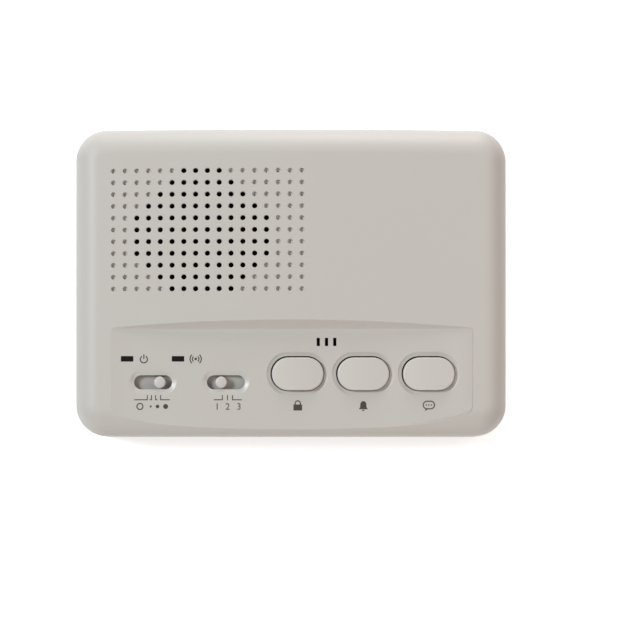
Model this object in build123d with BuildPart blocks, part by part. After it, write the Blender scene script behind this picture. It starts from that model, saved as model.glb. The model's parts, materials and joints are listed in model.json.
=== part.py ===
from build123d import *
import os
from math import asin, atan, cos, degrees, radians, sin, sqrt, tan

# Desktop two-way intercom station, in millimetres.
# The origin is on the table under the middle of the case: +X is the user's right,
# +Y the back and +Z up. The face leans towards the user, so what hangs under it is
# placed by (u, v, n): across the face, up the face, and out of the face.

# Case
CASE_WIDTH = 166.4
CASE_DEPTH = 118.4
CASE_CORNER_R = 12.0
EDGE_ROLL_R = 10.5
WALL = 2.2
FACE_TILT = 5.0
FACE_HEIGHT = 36.0
CROWN_R = 790.0
CAVITY_BEVEL = 4.9
CAVITY_CORNER = 10.5
BASE_DRAFT = 3.0
BASE_CHAMFER = 2.5
PARTING_HEIGHT = 14.0
FOOT_DROP = 1.5
LIP_INSET = 1.1
LIP_HEIGHT = 2.0
LIP_GAP = 0.1

# Flat sides that stand for a round on what repeats and on what is out of sight
GRILLE_SIDES = 6
SCREW_SIDES = 6
KNOB_SIDES = 12
POST_SIDES = 8
SPEAKER_SIDES = 12

# Control panel, a flat cut into the crowned face
PANEL_DEPTH = 3.35
PANEL_HALF_WIDTH = 69.5
PANEL_BACK_V = -17.95
PANEL_WALL = 2.0

# Loudspeaker grille: open holes on a square grid inside a cut-cornered square
GRILLE_PITCH = 4.5
GRILLE_COLUMNS = 12
GRILLE_ROWS = 11
GRILLE_HOLE_R = 0.9
GRILLE_DIAGONAL = 7.0
GRILLE_MIDDLE = 5.5
FLAT_WIDTH = 2.4
FLAT_DEPTH = 0.02
SPEAKER_U = -34.05
SPEAKER_V = 17.45

# Fits: pushed together, and sliding
FIT = 0.05
SLIDE_FIT = 0.15

# Push buttons
BUTTON_U = {"lock": 2.6, "call": 27.65, "talk": 52.7}
BUTTON_V = -35.1
BUTTON_LENGTH = 19.7
BUTTON_BREADTH = 12.4
BUTTON_GAP = 0.4
BUTTON_PROUD = 1.6
BUTTON_CROWN_R = 42.0
BUTTON_WALL = 1.3
BUTTON_ROOF = 2.45
FLANGE_RIM = 1.0
FLANGE_CORNER = 4.6
FLANGE_THICKNESS = 1.2
RIM_WIDTH = 0.9
RIM_DEPTH = 0.35
SOCKET_R = 2.4
SOCKET_DROP = 3.0
SOCKET_ROOM = 0.6
PLUNGER = 2.8
PLUNGER_LENGTH = 9.2
SHOULDER = 4.2
SHOULDER_HEIGHT = 1.2
SWITCH_SIDE = 10.0
SWITCH_HEIGHT = 7.5
SWITCH_WALL = 1.2
LEAF = 0.3
LEAF_ARM = 3.2
LEAF_BREADTH = 2.0
LEAF_V = 3.7

# Slide switches: how many detents each has, and the one that its knob stands in
SLIDE_U = {"volume": -52.75, "channel": -24.9}
SLIDE_DETENTS = {"volume": 4, "channel": 3}
SLIDE_REST = {"volume": 3, "channel": 0}
SLIDE_V = -38.4
DETENT_PITCH = 1.75
SLOT_LENGTH = 14.2
SLOT_BREADTH = 5.4
FUNNEL_WIDTH = 1.7
FUNNEL_DEPTH = 0.9
KNOB_R = 2.2
KNOB_PROUD = 0.7
KNOB_CHAMFER = 0.4
KNOB_SKIRT_BREADTH = 8.4
KNOB_SKIRT_THICKNESS = 1.0
KNOB_SKIRT_LAP = 0.8
KNOB_SOCKET_WALL = 1.3
KNOB_SOCKET_DEPTH = 4.0
LEVER = 2.2
SLIDER_LENGTH = 8.0
SLIDER_BREADTH = 4.4
SLIDE_PLAY = 0.3
FRAME_HEIGHT = 5.5

# Indicator lamps and microphone
LAMP_U = {"power": -62.6, "in_use": -43.15}
LAMP_V = -29.45
LAMP_LENGTH = 4.5
LAMP_BREADTH = 1.85
LAMP_HEIGHT = 7.0
LAMP_GAP = 0.13
LAMP_FLANGE = 0.5
LEG_PITCH = 2.54
MIC_U = 13.6
MIC_V = -23.1
MIC_SLOT_PITCH = 3.1
MIC_SLOT_WIDTH = 1.2
MIC_SLOT_LENGTH = 3.05
MIC_R = 4.85
MIC_HEIGHT = 6.5
MIC_MOUTH_R = 4.2
MIC_LIP = 1.0
MIC_BOOT_R = 5.4
MIC_BOOT_HEIGHT = 6.5
MIC_TUBE_R = 6.2
MIC_TUBE_HEIGHT = 5.6

# Circuit board under the panel
BOARD_N = -17.5
BOARD_THICKNESS = 1.6
BOARD_HALF_WIDTH = 67.0
BOARD_FRONT_V = -53.0
BOARD_BACK_V = -15.5
BOARD_POSTS = [(-64.5, -48.5), (64.5, -48.5), (-64.5, -19.5), (64.5, -19.5)]
POST_R = 3.0
CAN_SPOTS = [(-22.0, -21.5), (-11.0, -21.5), (0.0, -21.5)]
CAN_SIDE = 9.0
CAN_HEIGHT = 10.0
CAN_HOLE_R = 2.0
CAPACITOR_SPOTS = [(-34.0, -48.5), (-12.0, -48.5), (-2.0, -48.5), (50.0, -48.5)]
CAPACITOR_R = 4.0
CAPACITOR_HEIGHT = 9.0
CHIPS = {(31.0, -21.0): 8, (53.0, -21.0): 4}
CHIP_STAND = 0.8
CHIP_BREADTH = 6.4
CHIP_HEIGHT = 3.3
PIN_ROWS = 6.7
PIN_WIDTH = 0.5
FUSE_U = 30.0
FUSE_V = -48.0
FUSE_STAND = 3.4
FUSE_LENGTH = 20.0
FUSE_GLASS_R = 2.4
FUSE_CAP_R = 2.6
FUSE_CAP_LENGTH = 5.0
FUSE_CLIP = 0.4

# Loudspeaker
SPEAKER_SEAT_N = -5.2
SPEAKER_R = 28.4
SPEAKER_RING_R = 27.0
FELT_THICKNESS = 0.5
GASKET_THICKNESS = 0.8
SURROUND_THICKNESS = 0.3
SURROUND_R = 27.8
ROLL_OUT_R = 24.1
ROLL_IN_R = 22.6
ROLL_DIP = 0.9
SHEET = 0.8
BASKET_MOUTH_R = 25.8
BASKET_DEPTH = 8.6
BASKET_LEGS = 4
CONE_LIP_R = 21.3
CONE_DEPTH = 6.8
PAPER = 0.4
DUST_CAP_R = 8.0
DUST_CAP_RISE = 3.2
DUST_CAP_DROP = 1.0
DUST_CAP_BEND_R = 5.2
DUST_CAP_TOP_R = 1.0
COIL_R = 6.35
COIL_WALL = 0.3
COIL_LENGTH = 5.0
POLE_R = 6.0
GAP_R = 7.0
PLATE_R = 11.5
PLATE_THICKNESS = 2.0
MAGNET_R = 13.5
MAGNET_BORE_R = 8.5
MAGNET_THICKNESS = 6.0
TERMINAL_R = 27.6
TERMINAL_LENGTH = 12.0
TERMINAL_BREADTH = 3.0
TERMINAL_THICKNESS = 1.2
CLIP_COUNT = 3
CLIP_START = 90.0
CLIP_CIRCLE_R = 32.5
CLIP_OFFSET = -1.0
CLIP_LENGTH = 9.5
CLIP_BREADTH = 7.0
CLIP_THICKNESS = 1.0

# Screws: each reach is the depth of the pilot hole
SCREW_R = 1.5
SCREW_PILOT_R = 1.25
SCREW_CLEAR_R = 1.75
SCREW_HEAD_R = 2.8
SCREW_HEAD = 1.8
SCREW_TIP_ROOM = 0.4
CASE_SCREWS = [(73.0, 48.5), (-73.0, 48.5), (73.0, -48.5), (-73.0, -48.5)]
CASE_SCREW_REACH = 8.5
CASE_POST_R = 3.8
CASE_WELL_R = 3.3
CASE_WELL_DEPTH = 6.5
BOARD_SCREW_REACH = 7.0
CLIP_SCREW_REACH = 3.2
STRAP_SCREW_REACH = 4.0

# Base fittings
FEET = [(58.0, 46.0), (-58.0, 46.0), (58.0, -46.0), (-58.0, -46.0)]
FOOT_R = 5.0
FOOT_RECESS = 0.5
FOOT_CHAMFER = 0.5
GLAND_X = 52.0
GLAND_Z = 8.6
GLAND_BORE_R = 2.75
GLAND_NECK_R = 3.7
GLAND_FLANGE_R = 4.5
GLAND_OUT_Y = 59.4
GLAND_SEAT_Y = 58.55
GLAND_IN_Y = 56.95
GLAND_BARB = 1.6
GLAND_LENGTH = 8.5
VENT_COUNT = 7
VENT_PITCH = 6.0
VENT_LENGTH = 24.0
VENT_WIDTH = 2.2
VENT_CENTRE = (44.0, -12.0)

# Mains transformer on the base
CORE_X = 44.0
CORE_Y = 24.0
CORE_WIDTH = 30.0
CORE_HEIGHT = 25.0
CORE_STACK = 14.0
CORE_LEG = 10.0
CORE_YOKE = 5.0
BOBBIN_WALL = 0.8
BOBBIN_FLANGE = 4.15
WINDING_FILL = 3.9
STRAP = 0.8
STRAP_SCREW_X = 20.5
BOSS_HEIGHT = 3.0
BOSS_R = 3.6
RIB = 1.6

# Wires
LEAD_WIDTH = 2.4
LEAD_THICKNESS = 0.9
LEAD_BEND_R = 2.4
LEAD_DROP = 3.6
LEAD_LAND = 2.0

# Levels that follow from the sizes above
FLOOR_TOP = FOOT_DROP + WALL
PANEL_N = -PANEL_DEPTH
PANEL_UNDER_N = PANEL_N - PANEL_WALL
FLANGE_TOP_N = PANEL_UNDER_N - SLIDE_FIT
FLANGE_BOTTOM_N = FLANGE_TOP_N - FLANGE_THICKNESS
BUTTON_TOP_N = PANEL_N + BUTTON_PROUD
BUTTON_ROOF_N = BUTTON_TOP_N - BUTTON_ROOF
SOCKET_N = BUTTON_ROOF_N - SOCKET_DROP
PLUNGER_TOP_N = BUTTON_ROOF_N - SOCKET_ROOM
SWITCH_TOP_N = BOARD_N + SWITCH_HEIGHT
MIC_FRONT_N = PANEL_UNDER_N - FIT - MIC_LIP
MIC_TUBE_N = PANEL_UNDER_N - MIC_TUBE_HEIGHT
FUSE_N = BOARD_N + FUSE_STAND
FELT_N = SPEAKER_SEAT_N - FELT_THICKNESS
GASKET_N = FELT_N - GASKET_THICKNESS
SURROUND_N = GASKET_N - SURROUND_THICKNESS
BASKET_N = SURROUND_N - SHEET
BASKET_FLOOR_N = SURROUND_N - BASKET_DEPTH
CONE_NECK_N = SURROUND_N - CONE_DEPTH
FRONT_PLATE_N = BASKET_FLOOR_N - SHEET
BACK_PLATE_N = FRONT_PLATE_N - PLATE_THICKNESS - MAGNET_THICKNESS

# The cover is drawn square to its leaning face, so its walls lean too. The middle of the face
# stands forward, which centres the case's whole depth on the origin.
tilt = radians(FACE_TILT)
BASE_DEPTH = CASE_DEPTH / cos(tilt)
LEAN_BACK = (FACE_HEIGHT - PARTING_HEIGHT) * tan(tilt)
FRONT_REACH = (CASE_DEPTH / 2 - EDGE_ROLL_R) * cos(tilt) + EDGE_ROLL_R * (1 - sin(tilt))
FACE_Y = (FRONT_REACH - BASE_DEPTH / 2 - LEAN_BACK) / 2
face = Plane(origin=(0, FACE_Y, FACE_HEIGHT), x_dir=(1, 0, 0), z_dir=(0, -sin(tilt), cos(tilt)))
parting = Plane((0, FACE_Y + LEAN_BACK, PARTING_HEIGHT))
side_plane = Plane(origin=face.origin, x_dir=face.y_dir, z_dir=(1, 0, 0))


def face_point(u, v, n):
    """Point given across, up and out of the face."""
    return face.from_local_coords(Vector(u, v, n))


def face_plane(u=0.0, v=0.0, n=0.0):
    """Plane parallel to the face."""
    return Plane(face_point(u, v, n), x_dir=face.x_dir, z_dir=face.z_dir)


def cross_plane(u=0.0, v=0.0, n=0.0):
    """Plane square to the face: its x runs across the face and its y out of it."""
    return Plane(face_point(u, v, n), x_dir=face.x_dir, z_dir=-face.y_dir)


def crown_drop(u):
    """How far the crowned face lies under its ridge at a distance across it."""
    return CROWN_R - sqrt(CROWN_R**2 - u**2)


def crown_plane(u, v):
    """Plane that touches the crowned face."""
    lean = asin(u / CROWN_R)
    across = face.x_dir * cos(lean) - face.z_dir * sin(lean)
    out = face.x_dir * sin(lean) + face.z_dir * cos(lean)
    return Plane(face_point(u, v, -crown_drop(u)), x_dir=across, z_dir=out)


def save(piece, name):
    """Label a finished piece and write it."""
    piece.part.label = name
    export_step(piece.part, f"parts/{name}.step")


def arch_block(inset, half_width):
    """Solid under the arched roof, long to the front and back, with bevelled side edges."""
    arch_r = CROWN_R - inset
    edge_u = half_width - CAVITY_BEVEL
    edge_n = sqrt(arch_r**2 - edge_u**2) - CROWN_R
    deep = -2 * FACE_HEIGHT
    with BuildPart() as block:
        with BuildSketch(cross_plane()):
            with BuildLine():
                ThreePointArc((-edge_u, edge_n), (0, -inset), (edge_u, edge_n))
                Polyline(
                    (edge_u, edge_n),
                    (half_width, edge_n - CAVITY_BEVEL),
                    (half_width, deep),
                    (-half_width, deep),
                    (-half_width, edge_n - CAVITY_BEVEL),
                    (-edge_u, edge_n),
                )
            make_face()
        extrude(amount=CASE_DEPTH, both=True)
    return block.part


def panel_block(depth, half_width):
    """Solid over the panel: a flat floor, open to the front, with a 45 degree rear facet."""
    reach = CASE_DEPTH / 2
    back = PANEL_BACK_V + (depth - PANEL_DEPTH) * tan(radians(22.5))
    with BuildPart() as block:
        with BuildSketch(side_plane):
            with BuildLine():
                Polyline((-2 * reach, -depth), (back, -depth), (back + reach, reach - depth), close=True)
            make_face()
        extrude(amount=half_width, both=True)
    return block.part


os.makedirs("parts", exist_ok=True)

# Grille layout: how far up the face the open holes of each column stand
grille_columns = {}
for column in range(GRILLE_COLUMNS):
    for row in range(GRILLE_ROWS):
        across = column - GRILLE_MIDDLE
        down = row - GRILLE_MIDDLE
        if abs(across) + abs(down) <= GRILLE_DIAGONAL:
            hole_v = SPEAKER_V - down * GRILLE_PITCH
            grille_columns.setdefault(SPEAKER_U + across * GRILLE_PITCH, []).append(hole_v)
grille_spots = [(u, v) for u, rows in grille_columns.items() for v in rows]
print("grille:", len(grille_spots), "open holes")

# Each column of the grille stands on its own narrow flat, so that every rim is straight-edged
with BuildPart() as grille_flats:
    for u, rows in grille_columns.items():
        with BuildSketch(crown_plane(u, (rows[0] + rows[-1]) / 2).offset(-FLAT_DEPTH)):
            Rectangle(FLAT_WIDTH, rows[0] - rows[-1] + FLAT_WIDTH)
        extrude(amount=WALL)

# Outer skin of the cover: an arched block with a rolled edge, cut off at the parting plane
with BuildPart() as cover_form:
    with BuildSketch(face_plane(n=WALL)):
        RectangleRounded(CASE_WIDTH, CASE_DEPTH, CASE_CORNER_R)
    extrude(amount=-2 * FACE_HEIGHT)
    add(arch_block(0, CASE_WIDTH), mode=Mode.INTERSECT)
    roof = cover_form.faces().filter_by(GeomType.CYLINDER).sort_by(SortBy.AREA)[-1]
    fillet(roof.edges(), EDGE_ROLL_R)
    split(bisect_by=parting, keep=Keep.TOP)

# Screws that clip the loudspeaker down stand round it
clip_spots = [
    (
        SPEAKER_U + CLIP_CIRCLE_R * cos(radians(CLIP_START + turn * 360 / CLIP_COUNT)),
        SPEAKER_V + CLIP_CIRCLE_R * sin(radians(CLIP_START + turn * 360 / CLIP_COUNT)),
    )
    for turn in range(CLIP_COUNT)
]

# Underside of the roof over the loudspeaker, flat along a chord of the arch
ceiling_ends = [
    face_point(u, SPEAKER_V, -WALL - crown_drop(u)) for u in (SPEAKER_U - SPEAKER_R, SPEAKER_U + SPEAKER_R)
]
ceiling_slope = (ceiling_ends[1] - ceiling_ends[0]).normalized()
ceiling = Plane(
    (ceiling_ends[0] + ceiling_ends[1]) / 2, x_dir=ceiling_slope, z_dir=ceiling_slope.cross(face.y_dir)
)

# Room inside the cover: posts and ribs that hang from the roof are left standing
with BuildPart() as cavity:
    half_width = CASE_WIDTH / 2 - WALL
    half_depth = CASE_DEPTH / 2 - WALL
    with BuildSketch(face):
        outline = Rectangle(2 * half_width, 2 * half_depth)
        chamfer(outline.vertices(), CAVITY_CORNER)
    extrude(amount=-2 * FACE_HEIGHT)
    add(arch_block(WALL, half_width), mode=Mode.INTERSECT)
    with BuildSketch(side_plane):
        with BuildLine():
            Polyline(
                (-half_depth, -2 * FACE_HEIGHT),
                (-half_depth, -WALL - CAVITY_BEVEL),
                (CAVITY_BEVEL - half_depth, -WALL),
                (half_depth - CAVITY_BEVEL, -WALL),
                (half_depth, -WALL - CAVITY_BEVEL),
                (half_depth, -2 * FACE_HEIGHT),
                close=True,
            )
        make_face()
    revolve(axis=Axis(face_point(0, 0, -CROWN_R), face.y_dir), mode=Mode.INTERSECT)
    with BuildSketch(parting):
        RectangleRounded(CASE_WIDTH - 2 * LIP_INSET, BASE_DEPTH - 2 * LIP_INSET, CASE_CORNER_R - LIP_INSET)
    extrude(amount=LIP_HEIGHT + LIP_GAP)
    add(panel_block(PANEL_DEPTH + PANEL_WALL, PANEL_HALF_WIDTH + PANEL_WALL), mode=Mode.SUBTRACT)
    with BuildSketch(Plane.XY.offset(PARTING_HEIGHT)):
        with Locations(*CASE_SCREWS):
            RegularPolygon(CASE_POST_R, POST_SIDES)
    extrude(amount=FACE_HEIGHT, mode=Mode.SUBTRACT)
    with BuildSketch(face_plane(SPEAKER_U, SPEAKER_V, SPEAKER_SEAT_N)):
        RegularPolygon(SPEAKER_R, SPEAKER_SIDES)
        RegularPolygon(SPEAKER_RING_R, SPEAKER_SIDES, mode=Mode.SUBTRACT)
    extrude(amount=-SPEAKER_SEAT_N, mode=Mode.SUBTRACT)
    with BuildSketch(ceiling):
        RegularPolygon((SPEAKER_R + SPEAKER_RING_R) / 2, SPEAKER_SIDES)
    extrude(amount=WALL, mode=Mode.SUBTRACT)
    with BuildSketch(face_plane(n=BASKET_N)):
        with Locations(*clip_spots):
            RegularPolygon(POST_R, POST_SIDES)
    extrude(amount=-BASKET_N, mode=Mode.SUBTRACT)
    with BuildSketch(face_plane(n=BOARD_N)):
        with Locations(*BOARD_POSTS):
            RegularPolygon(POST_R, POST_SIDES)
    extrude(amount=-BOARD_N, mode=Mode.SUBTRACT)
    with BuildSketch(face_plane(MIC_U, MIC_V, MIC_TUBE_N)):
        RegularPolygon(MIC_TUBE_R, POST_SIDES)
        RegularPolygon(MIC_BOOT_R + FIT, POST_SIDES, mode=Mode.SUBTRACT)
    extrude(amount=-MIC_TUBE_N, mode=Mode.SUBTRACT)

# Top cover
button_spots = [(u, BUTTON_V) for u in BUTTON_U.values()]
slide_spots = [(u, SLIDE_V) for u in SLIDE_U.values()]
lamp_spots = [(u, LAMP_V) for u in LAMP_U.values()]
mic_spots = [(MIC_U + step * MIC_SLOT_PITCH, MIC_V) for step in (-1, 0, 1)]
opening_length = BUTTON_LENGTH + 2 * BUTTON_GAP
opening_breadth = BUTTON_BREADTH + 2 * BUTTON_GAP
with BuildPart() as top_cover:
    add(cover_form.part)
    add(panel_block(PANEL_DEPTH, PANEL_HALF_WIDTH), mode=Mode.SUBTRACT)
    add(cavity.part, mode=Mode.SUBTRACT)
    add(grille_flats.part, mode=Mode.SUBTRACT)
    with BuildSketch(face_plane()):
        with Locations(*grille_spots):
            RegularPolygon(GRILLE_HOLE_R, GRILLE_SIDES)
    extrude(amount=SPEAKER_SEAT_N, mode=Mode.SUBTRACT)
    with BuildSketch(face_plane(n=PANEL_N)):
        with Locations(*button_spots):
            SlotOverall(opening_length, opening_breadth)
        with Locations(*slide_spots):
            SlotOverall(SLOT_LENGTH, SLOT_BREADTH)
        with Locations(*lamp_spots):
            Rectangle(LAMP_LENGTH + 2 * LAMP_GAP, LAMP_BREADTH + 2 * LAMP_GAP)
        with Locations(*mic_spots):
            Rectangle(MIC_SLOT_WIDTH, MIC_SLOT_LENGTH)
    extrude(amount=-2 * PANEL_WALL, mode=Mode.SUBTRACT)
    with BuildSketch(face_plane(n=PANEL_N)):
        with Locations(*button_spots):
            SlotOverall(opening_length + 2 * RIM_WIDTH, opening_breadth + 2 * RIM_WIDTH)
    extrude(amount=-RIM_DEPTH, taper=degrees(atan(RIM_WIDTH / RIM_DEPTH)), mode=Mode.SUBTRACT)
    with BuildSketch(face_plane(n=PANEL_N)):
        with Locations(*slide_spots):
            SlotOverall(SLOT_LENGTH + 2 * FUNNEL_WIDTH, SLOT_BREADTH + 2 * FUNNEL_WIDTH)
    extrude(amount=-FUNNEL_DEPTH, taper=degrees(atan(FUNNEL_WIDTH / FUNNEL_DEPTH)), mode=Mode.SUBTRACT)
    with BuildSketch(Plane.XY.offset(PARTING_HEIGHT)):
        with Locations(*CASE_SCREWS):
            RegularPolygon(SCREW_PILOT_R, SCREW_SIDES)
    extrude(amount=CASE_SCREW_REACH, mode=Mode.SUBTRACT)
    with BuildSketch(face_plane(n=BOARD_N)):
        with Locations(*BOARD_POSTS):
            RegularPolygon(SCREW_PILOT_R, SCREW_SIDES)
    extrude(amount=BOARD_SCREW_REACH, mode=Mode.SUBTRACT)
    with BuildSketch(face_plane(n=BASKET_N)):
        with Locations(*clip_spots):
            RegularPolygon(SCREW_PILOT_R, SCREW_SIDES)
    extrude(amount=CLIP_SCREW_REACH, mode=Mode.SUBTRACT)
save(top_cover, "top_cover")

# Base: a drafted tray with a lip that plugs into the cover
with BuildPart() as base_cover:
    with BuildSketch(parting):
        RectangleRounded(CASE_WIDTH, BASE_DEPTH, CASE_CORNER_R)
    extrude(amount=FOOT_DROP - PARTING_HEIGHT, taper=BASE_DRAFT)
    chamfer(base_cover.faces().sort_by(Axis.Z)[0].edges(), BASE_CHAMFER)
    with BuildSketch(parting):
        RectangleRounded(CASE_WIDTH - 2 * WALL, BASE_DEPTH - 2 * WALL, CASE_CORNER_R - WALL)
    extrude(amount=FLOOR_TOP - PARTING_HEIGHT, mode=Mode.SUBTRACT)
    lip_out = LIP_INSET + LIP_GAP
    with BuildSketch(parting):
        RectangleRounded(CASE_WIDTH - 2 * lip_out, BASE_DEPTH - 2 * lip_out, CASE_CORNER_R - lip_out)
        RectangleRounded(
            CASE_WIDTH - 2 * WALL, BASE_DEPTH - 2 * WALL, CASE_CORNER_R - WALL, mode=Mode.SUBTRACT
        )
    extrude(amount=LIP_HEIGHT)
    with BuildSketch(Plane.XY.offset(FOOT_DROP)):
        with Locations(*CASE_SCREWS):
            RegularPolygon(CASE_WELL_R + WALL, POST_SIDES)
    extrude(amount=PARTING_HEIGHT - FOOT_DROP)
    with BuildSketch(Plane.XY.offset(FLOOR_TOP)):
        with Locations((CORE_X - STRAP_SCREW_X, CORE_Y), (CORE_X + STRAP_SCREW_X, CORE_Y)):
            RegularPolygon(BOSS_R, POST_SIDES)
        with Locations((CORE_X, CORE_Y - CORE_STACK / 4), (CORE_X, CORE_Y + CORE_STACK / 4)):
            Rectangle(CORE_WIDTH - 2 * CORE_YOKE, RIB)
    extrude(amount=BOSS_HEIGHT)
    with BuildSketch(Plane.XY.offset(FLOOR_TOP + BOSS_HEIGHT)):
        with Locations((CORE_X - STRAP_SCREW_X, CORE_Y), (CORE_X + STRAP_SCREW_X, CORE_Y)):
            RegularPolygon(SCREW_PILOT_R, SCREW_SIDES)
    extrude(amount=-STRAP_SCREW_REACH, mode=Mode.SUBTRACT)
    with BuildSketch(Plane.XY.offset(FOOT_DROP)):
        with Locations(*CASE_SCREWS):
            RegularPolygon(CASE_WELL_R, POST_SIDES)
    extrude(amount=CASE_WELL_DEPTH, mode=Mode.SUBTRACT)
    with BuildSketch(Plane.XY.offset(FOOT_DROP)):
        with Locations(*CASE_SCREWS):
            RegularPolygon(SCREW_CLEAR_R, SCREW_SIDES)
    extrude(amount=PARTING_HEIGHT, mode=Mode.SUBTRACT)
    with BuildSketch(Plane.XY.offset(FOOT_DROP)):
        with Locations(*FEET):
            RegularPolygon(FOOT_R + FIT, POST_SIDES)
    extrude(amount=FOOT_RECESS, mode=Mode.SUBTRACT)
    with BuildSketch(Plane.XY.offset(FOOT_DROP)):
        with Locations(VENT_CENTRE):
            with GridLocations(VENT_PITCH, VENT_PITCH, VENT_COUNT, 1):
                Rectangle(VENT_WIDTH, VENT_LENGTH)
    extrude(amount=WALL, mode=Mode.SUBTRACT)
    with BuildSketch(Plane.XZ.offset(-GLAND_SEAT_Y)):
        with Locations((GLAND_X, GLAND_Z)):
            RegularPolygon(GLAND_NECK_R + FIT, POST_SIDES)
    extrude(amount=2 * WALL, mode=Mode.SUBTRACT)
    with BuildSketch(Plane.XZ.offset(-GLAND_SEAT_Y)):
        with Locations((GLAND_X, GLAND_Z)):
            RegularPolygon(GLAND_FLANGE_R + FIT, POST_SIDES)
    extrude(amount=-WALL, mode=Mode.SUBTRACT)
save(base_cover, "base_cover")

with BuildPart() as rubber_feet:
    with BuildSketch():
        with Locations(*FEET):
            RegularPolygon(FOOT_R, POST_SIDES)
    extrude(amount=FOOT_DROP + FOOT_RECESS)
    chamfer(rubber_feet.faces().group_by(Axis.Z)[0].edges(), FOOT_CHAMFER)
save(rubber_feet, "rubber_feet")

# Cord gland, a rubber bush in the back wall
gland_steps = [
    (GLAND_FLANGE_R, GLAND_OUT_Y, GLAND_SEAT_Y),
    (GLAND_NECK_R, GLAND_SEAT_Y, GLAND_OUT_Y - GLAND_LENGTH),
    (GLAND_FLANGE_R, GLAND_IN_Y, GLAND_IN_Y - GLAND_BARB),
]
with BuildPart() as cord_gland:
    for step_r, start_y, end_y in gland_steps:
        with BuildSketch(Plane.XZ.offset(-start_y)):
            with Locations((GLAND_X, GLAND_Z)):
                RegularPolygon(step_r, POST_SIDES)
        extrude(amount=start_y - end_y)
    with BuildSketch(Plane.XZ.offset(-GLAND_OUT_Y)):
        with Locations((GLAND_X, GLAND_Z)):
            Circle(GLAND_BORE_R)
    extrude(amount=GLAND_LENGTH, mode=Mode.SUBTRACT)
save(cord_gland, "cord_gland")


def pan_screws(name, seat, spots, reach):
    """Pan-head screws on a seat plane whose normal is the way that they are driven."""
    with BuildPart() as screws:
        with BuildSketch(seat):
            with Locations(*spots):
                RegularPolygon(SCREW_HEAD_R, SCREW_SIDES)
        extrude(amount=-SCREW_HEAD)
        with BuildSketch(seat):
            with Locations(*spots):
                RegularPolygon(SCREW_R, SCREW_SIDES)
        extrude(amount=reach)
    save(screws, name)


strap_seat = Plane((CORE_X, CORE_Y, FLOOR_TOP + BOSS_HEIGHT + STRAP), x_dir=(1, 0, 0), z_dir=(0, 0, -1))
case_seat = Plane.XY.offset(FOOT_DROP + CASE_WELL_DEPTH)
case_reach = PARTING_HEIGHT - FOOT_DROP - CASE_WELL_DEPTH + CASE_SCREW_REACH - SCREW_TIP_ROOM
pan_screws("case_screws", case_seat, CASE_SCREWS, case_reach)
board_seat = face_plane(n=BOARD_N - BOARD_THICKNESS)
pan_screws("board_screws", board_seat, BOARD_POSTS, BOARD_THICKNESS + BOARD_SCREW_REACH - SCREW_TIP_ROOM)
clip_seat = face_plane(n=BASKET_N - CLIP_THICKNESS)
pan_screws("speaker_clip_screws", clip_seat, clip_spots, CLIP_THICKNESS + CLIP_SCREW_REACH - SCREW_TIP_ROOM)
strap_spots = [(-STRAP_SCREW_X, 0), (STRAP_SCREW_X, 0)]
pan_screws("transformer_screws", strap_seat, strap_spots, STRAP + STRAP_SCREW_REACH - SCREW_TIP_ROOM)


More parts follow.
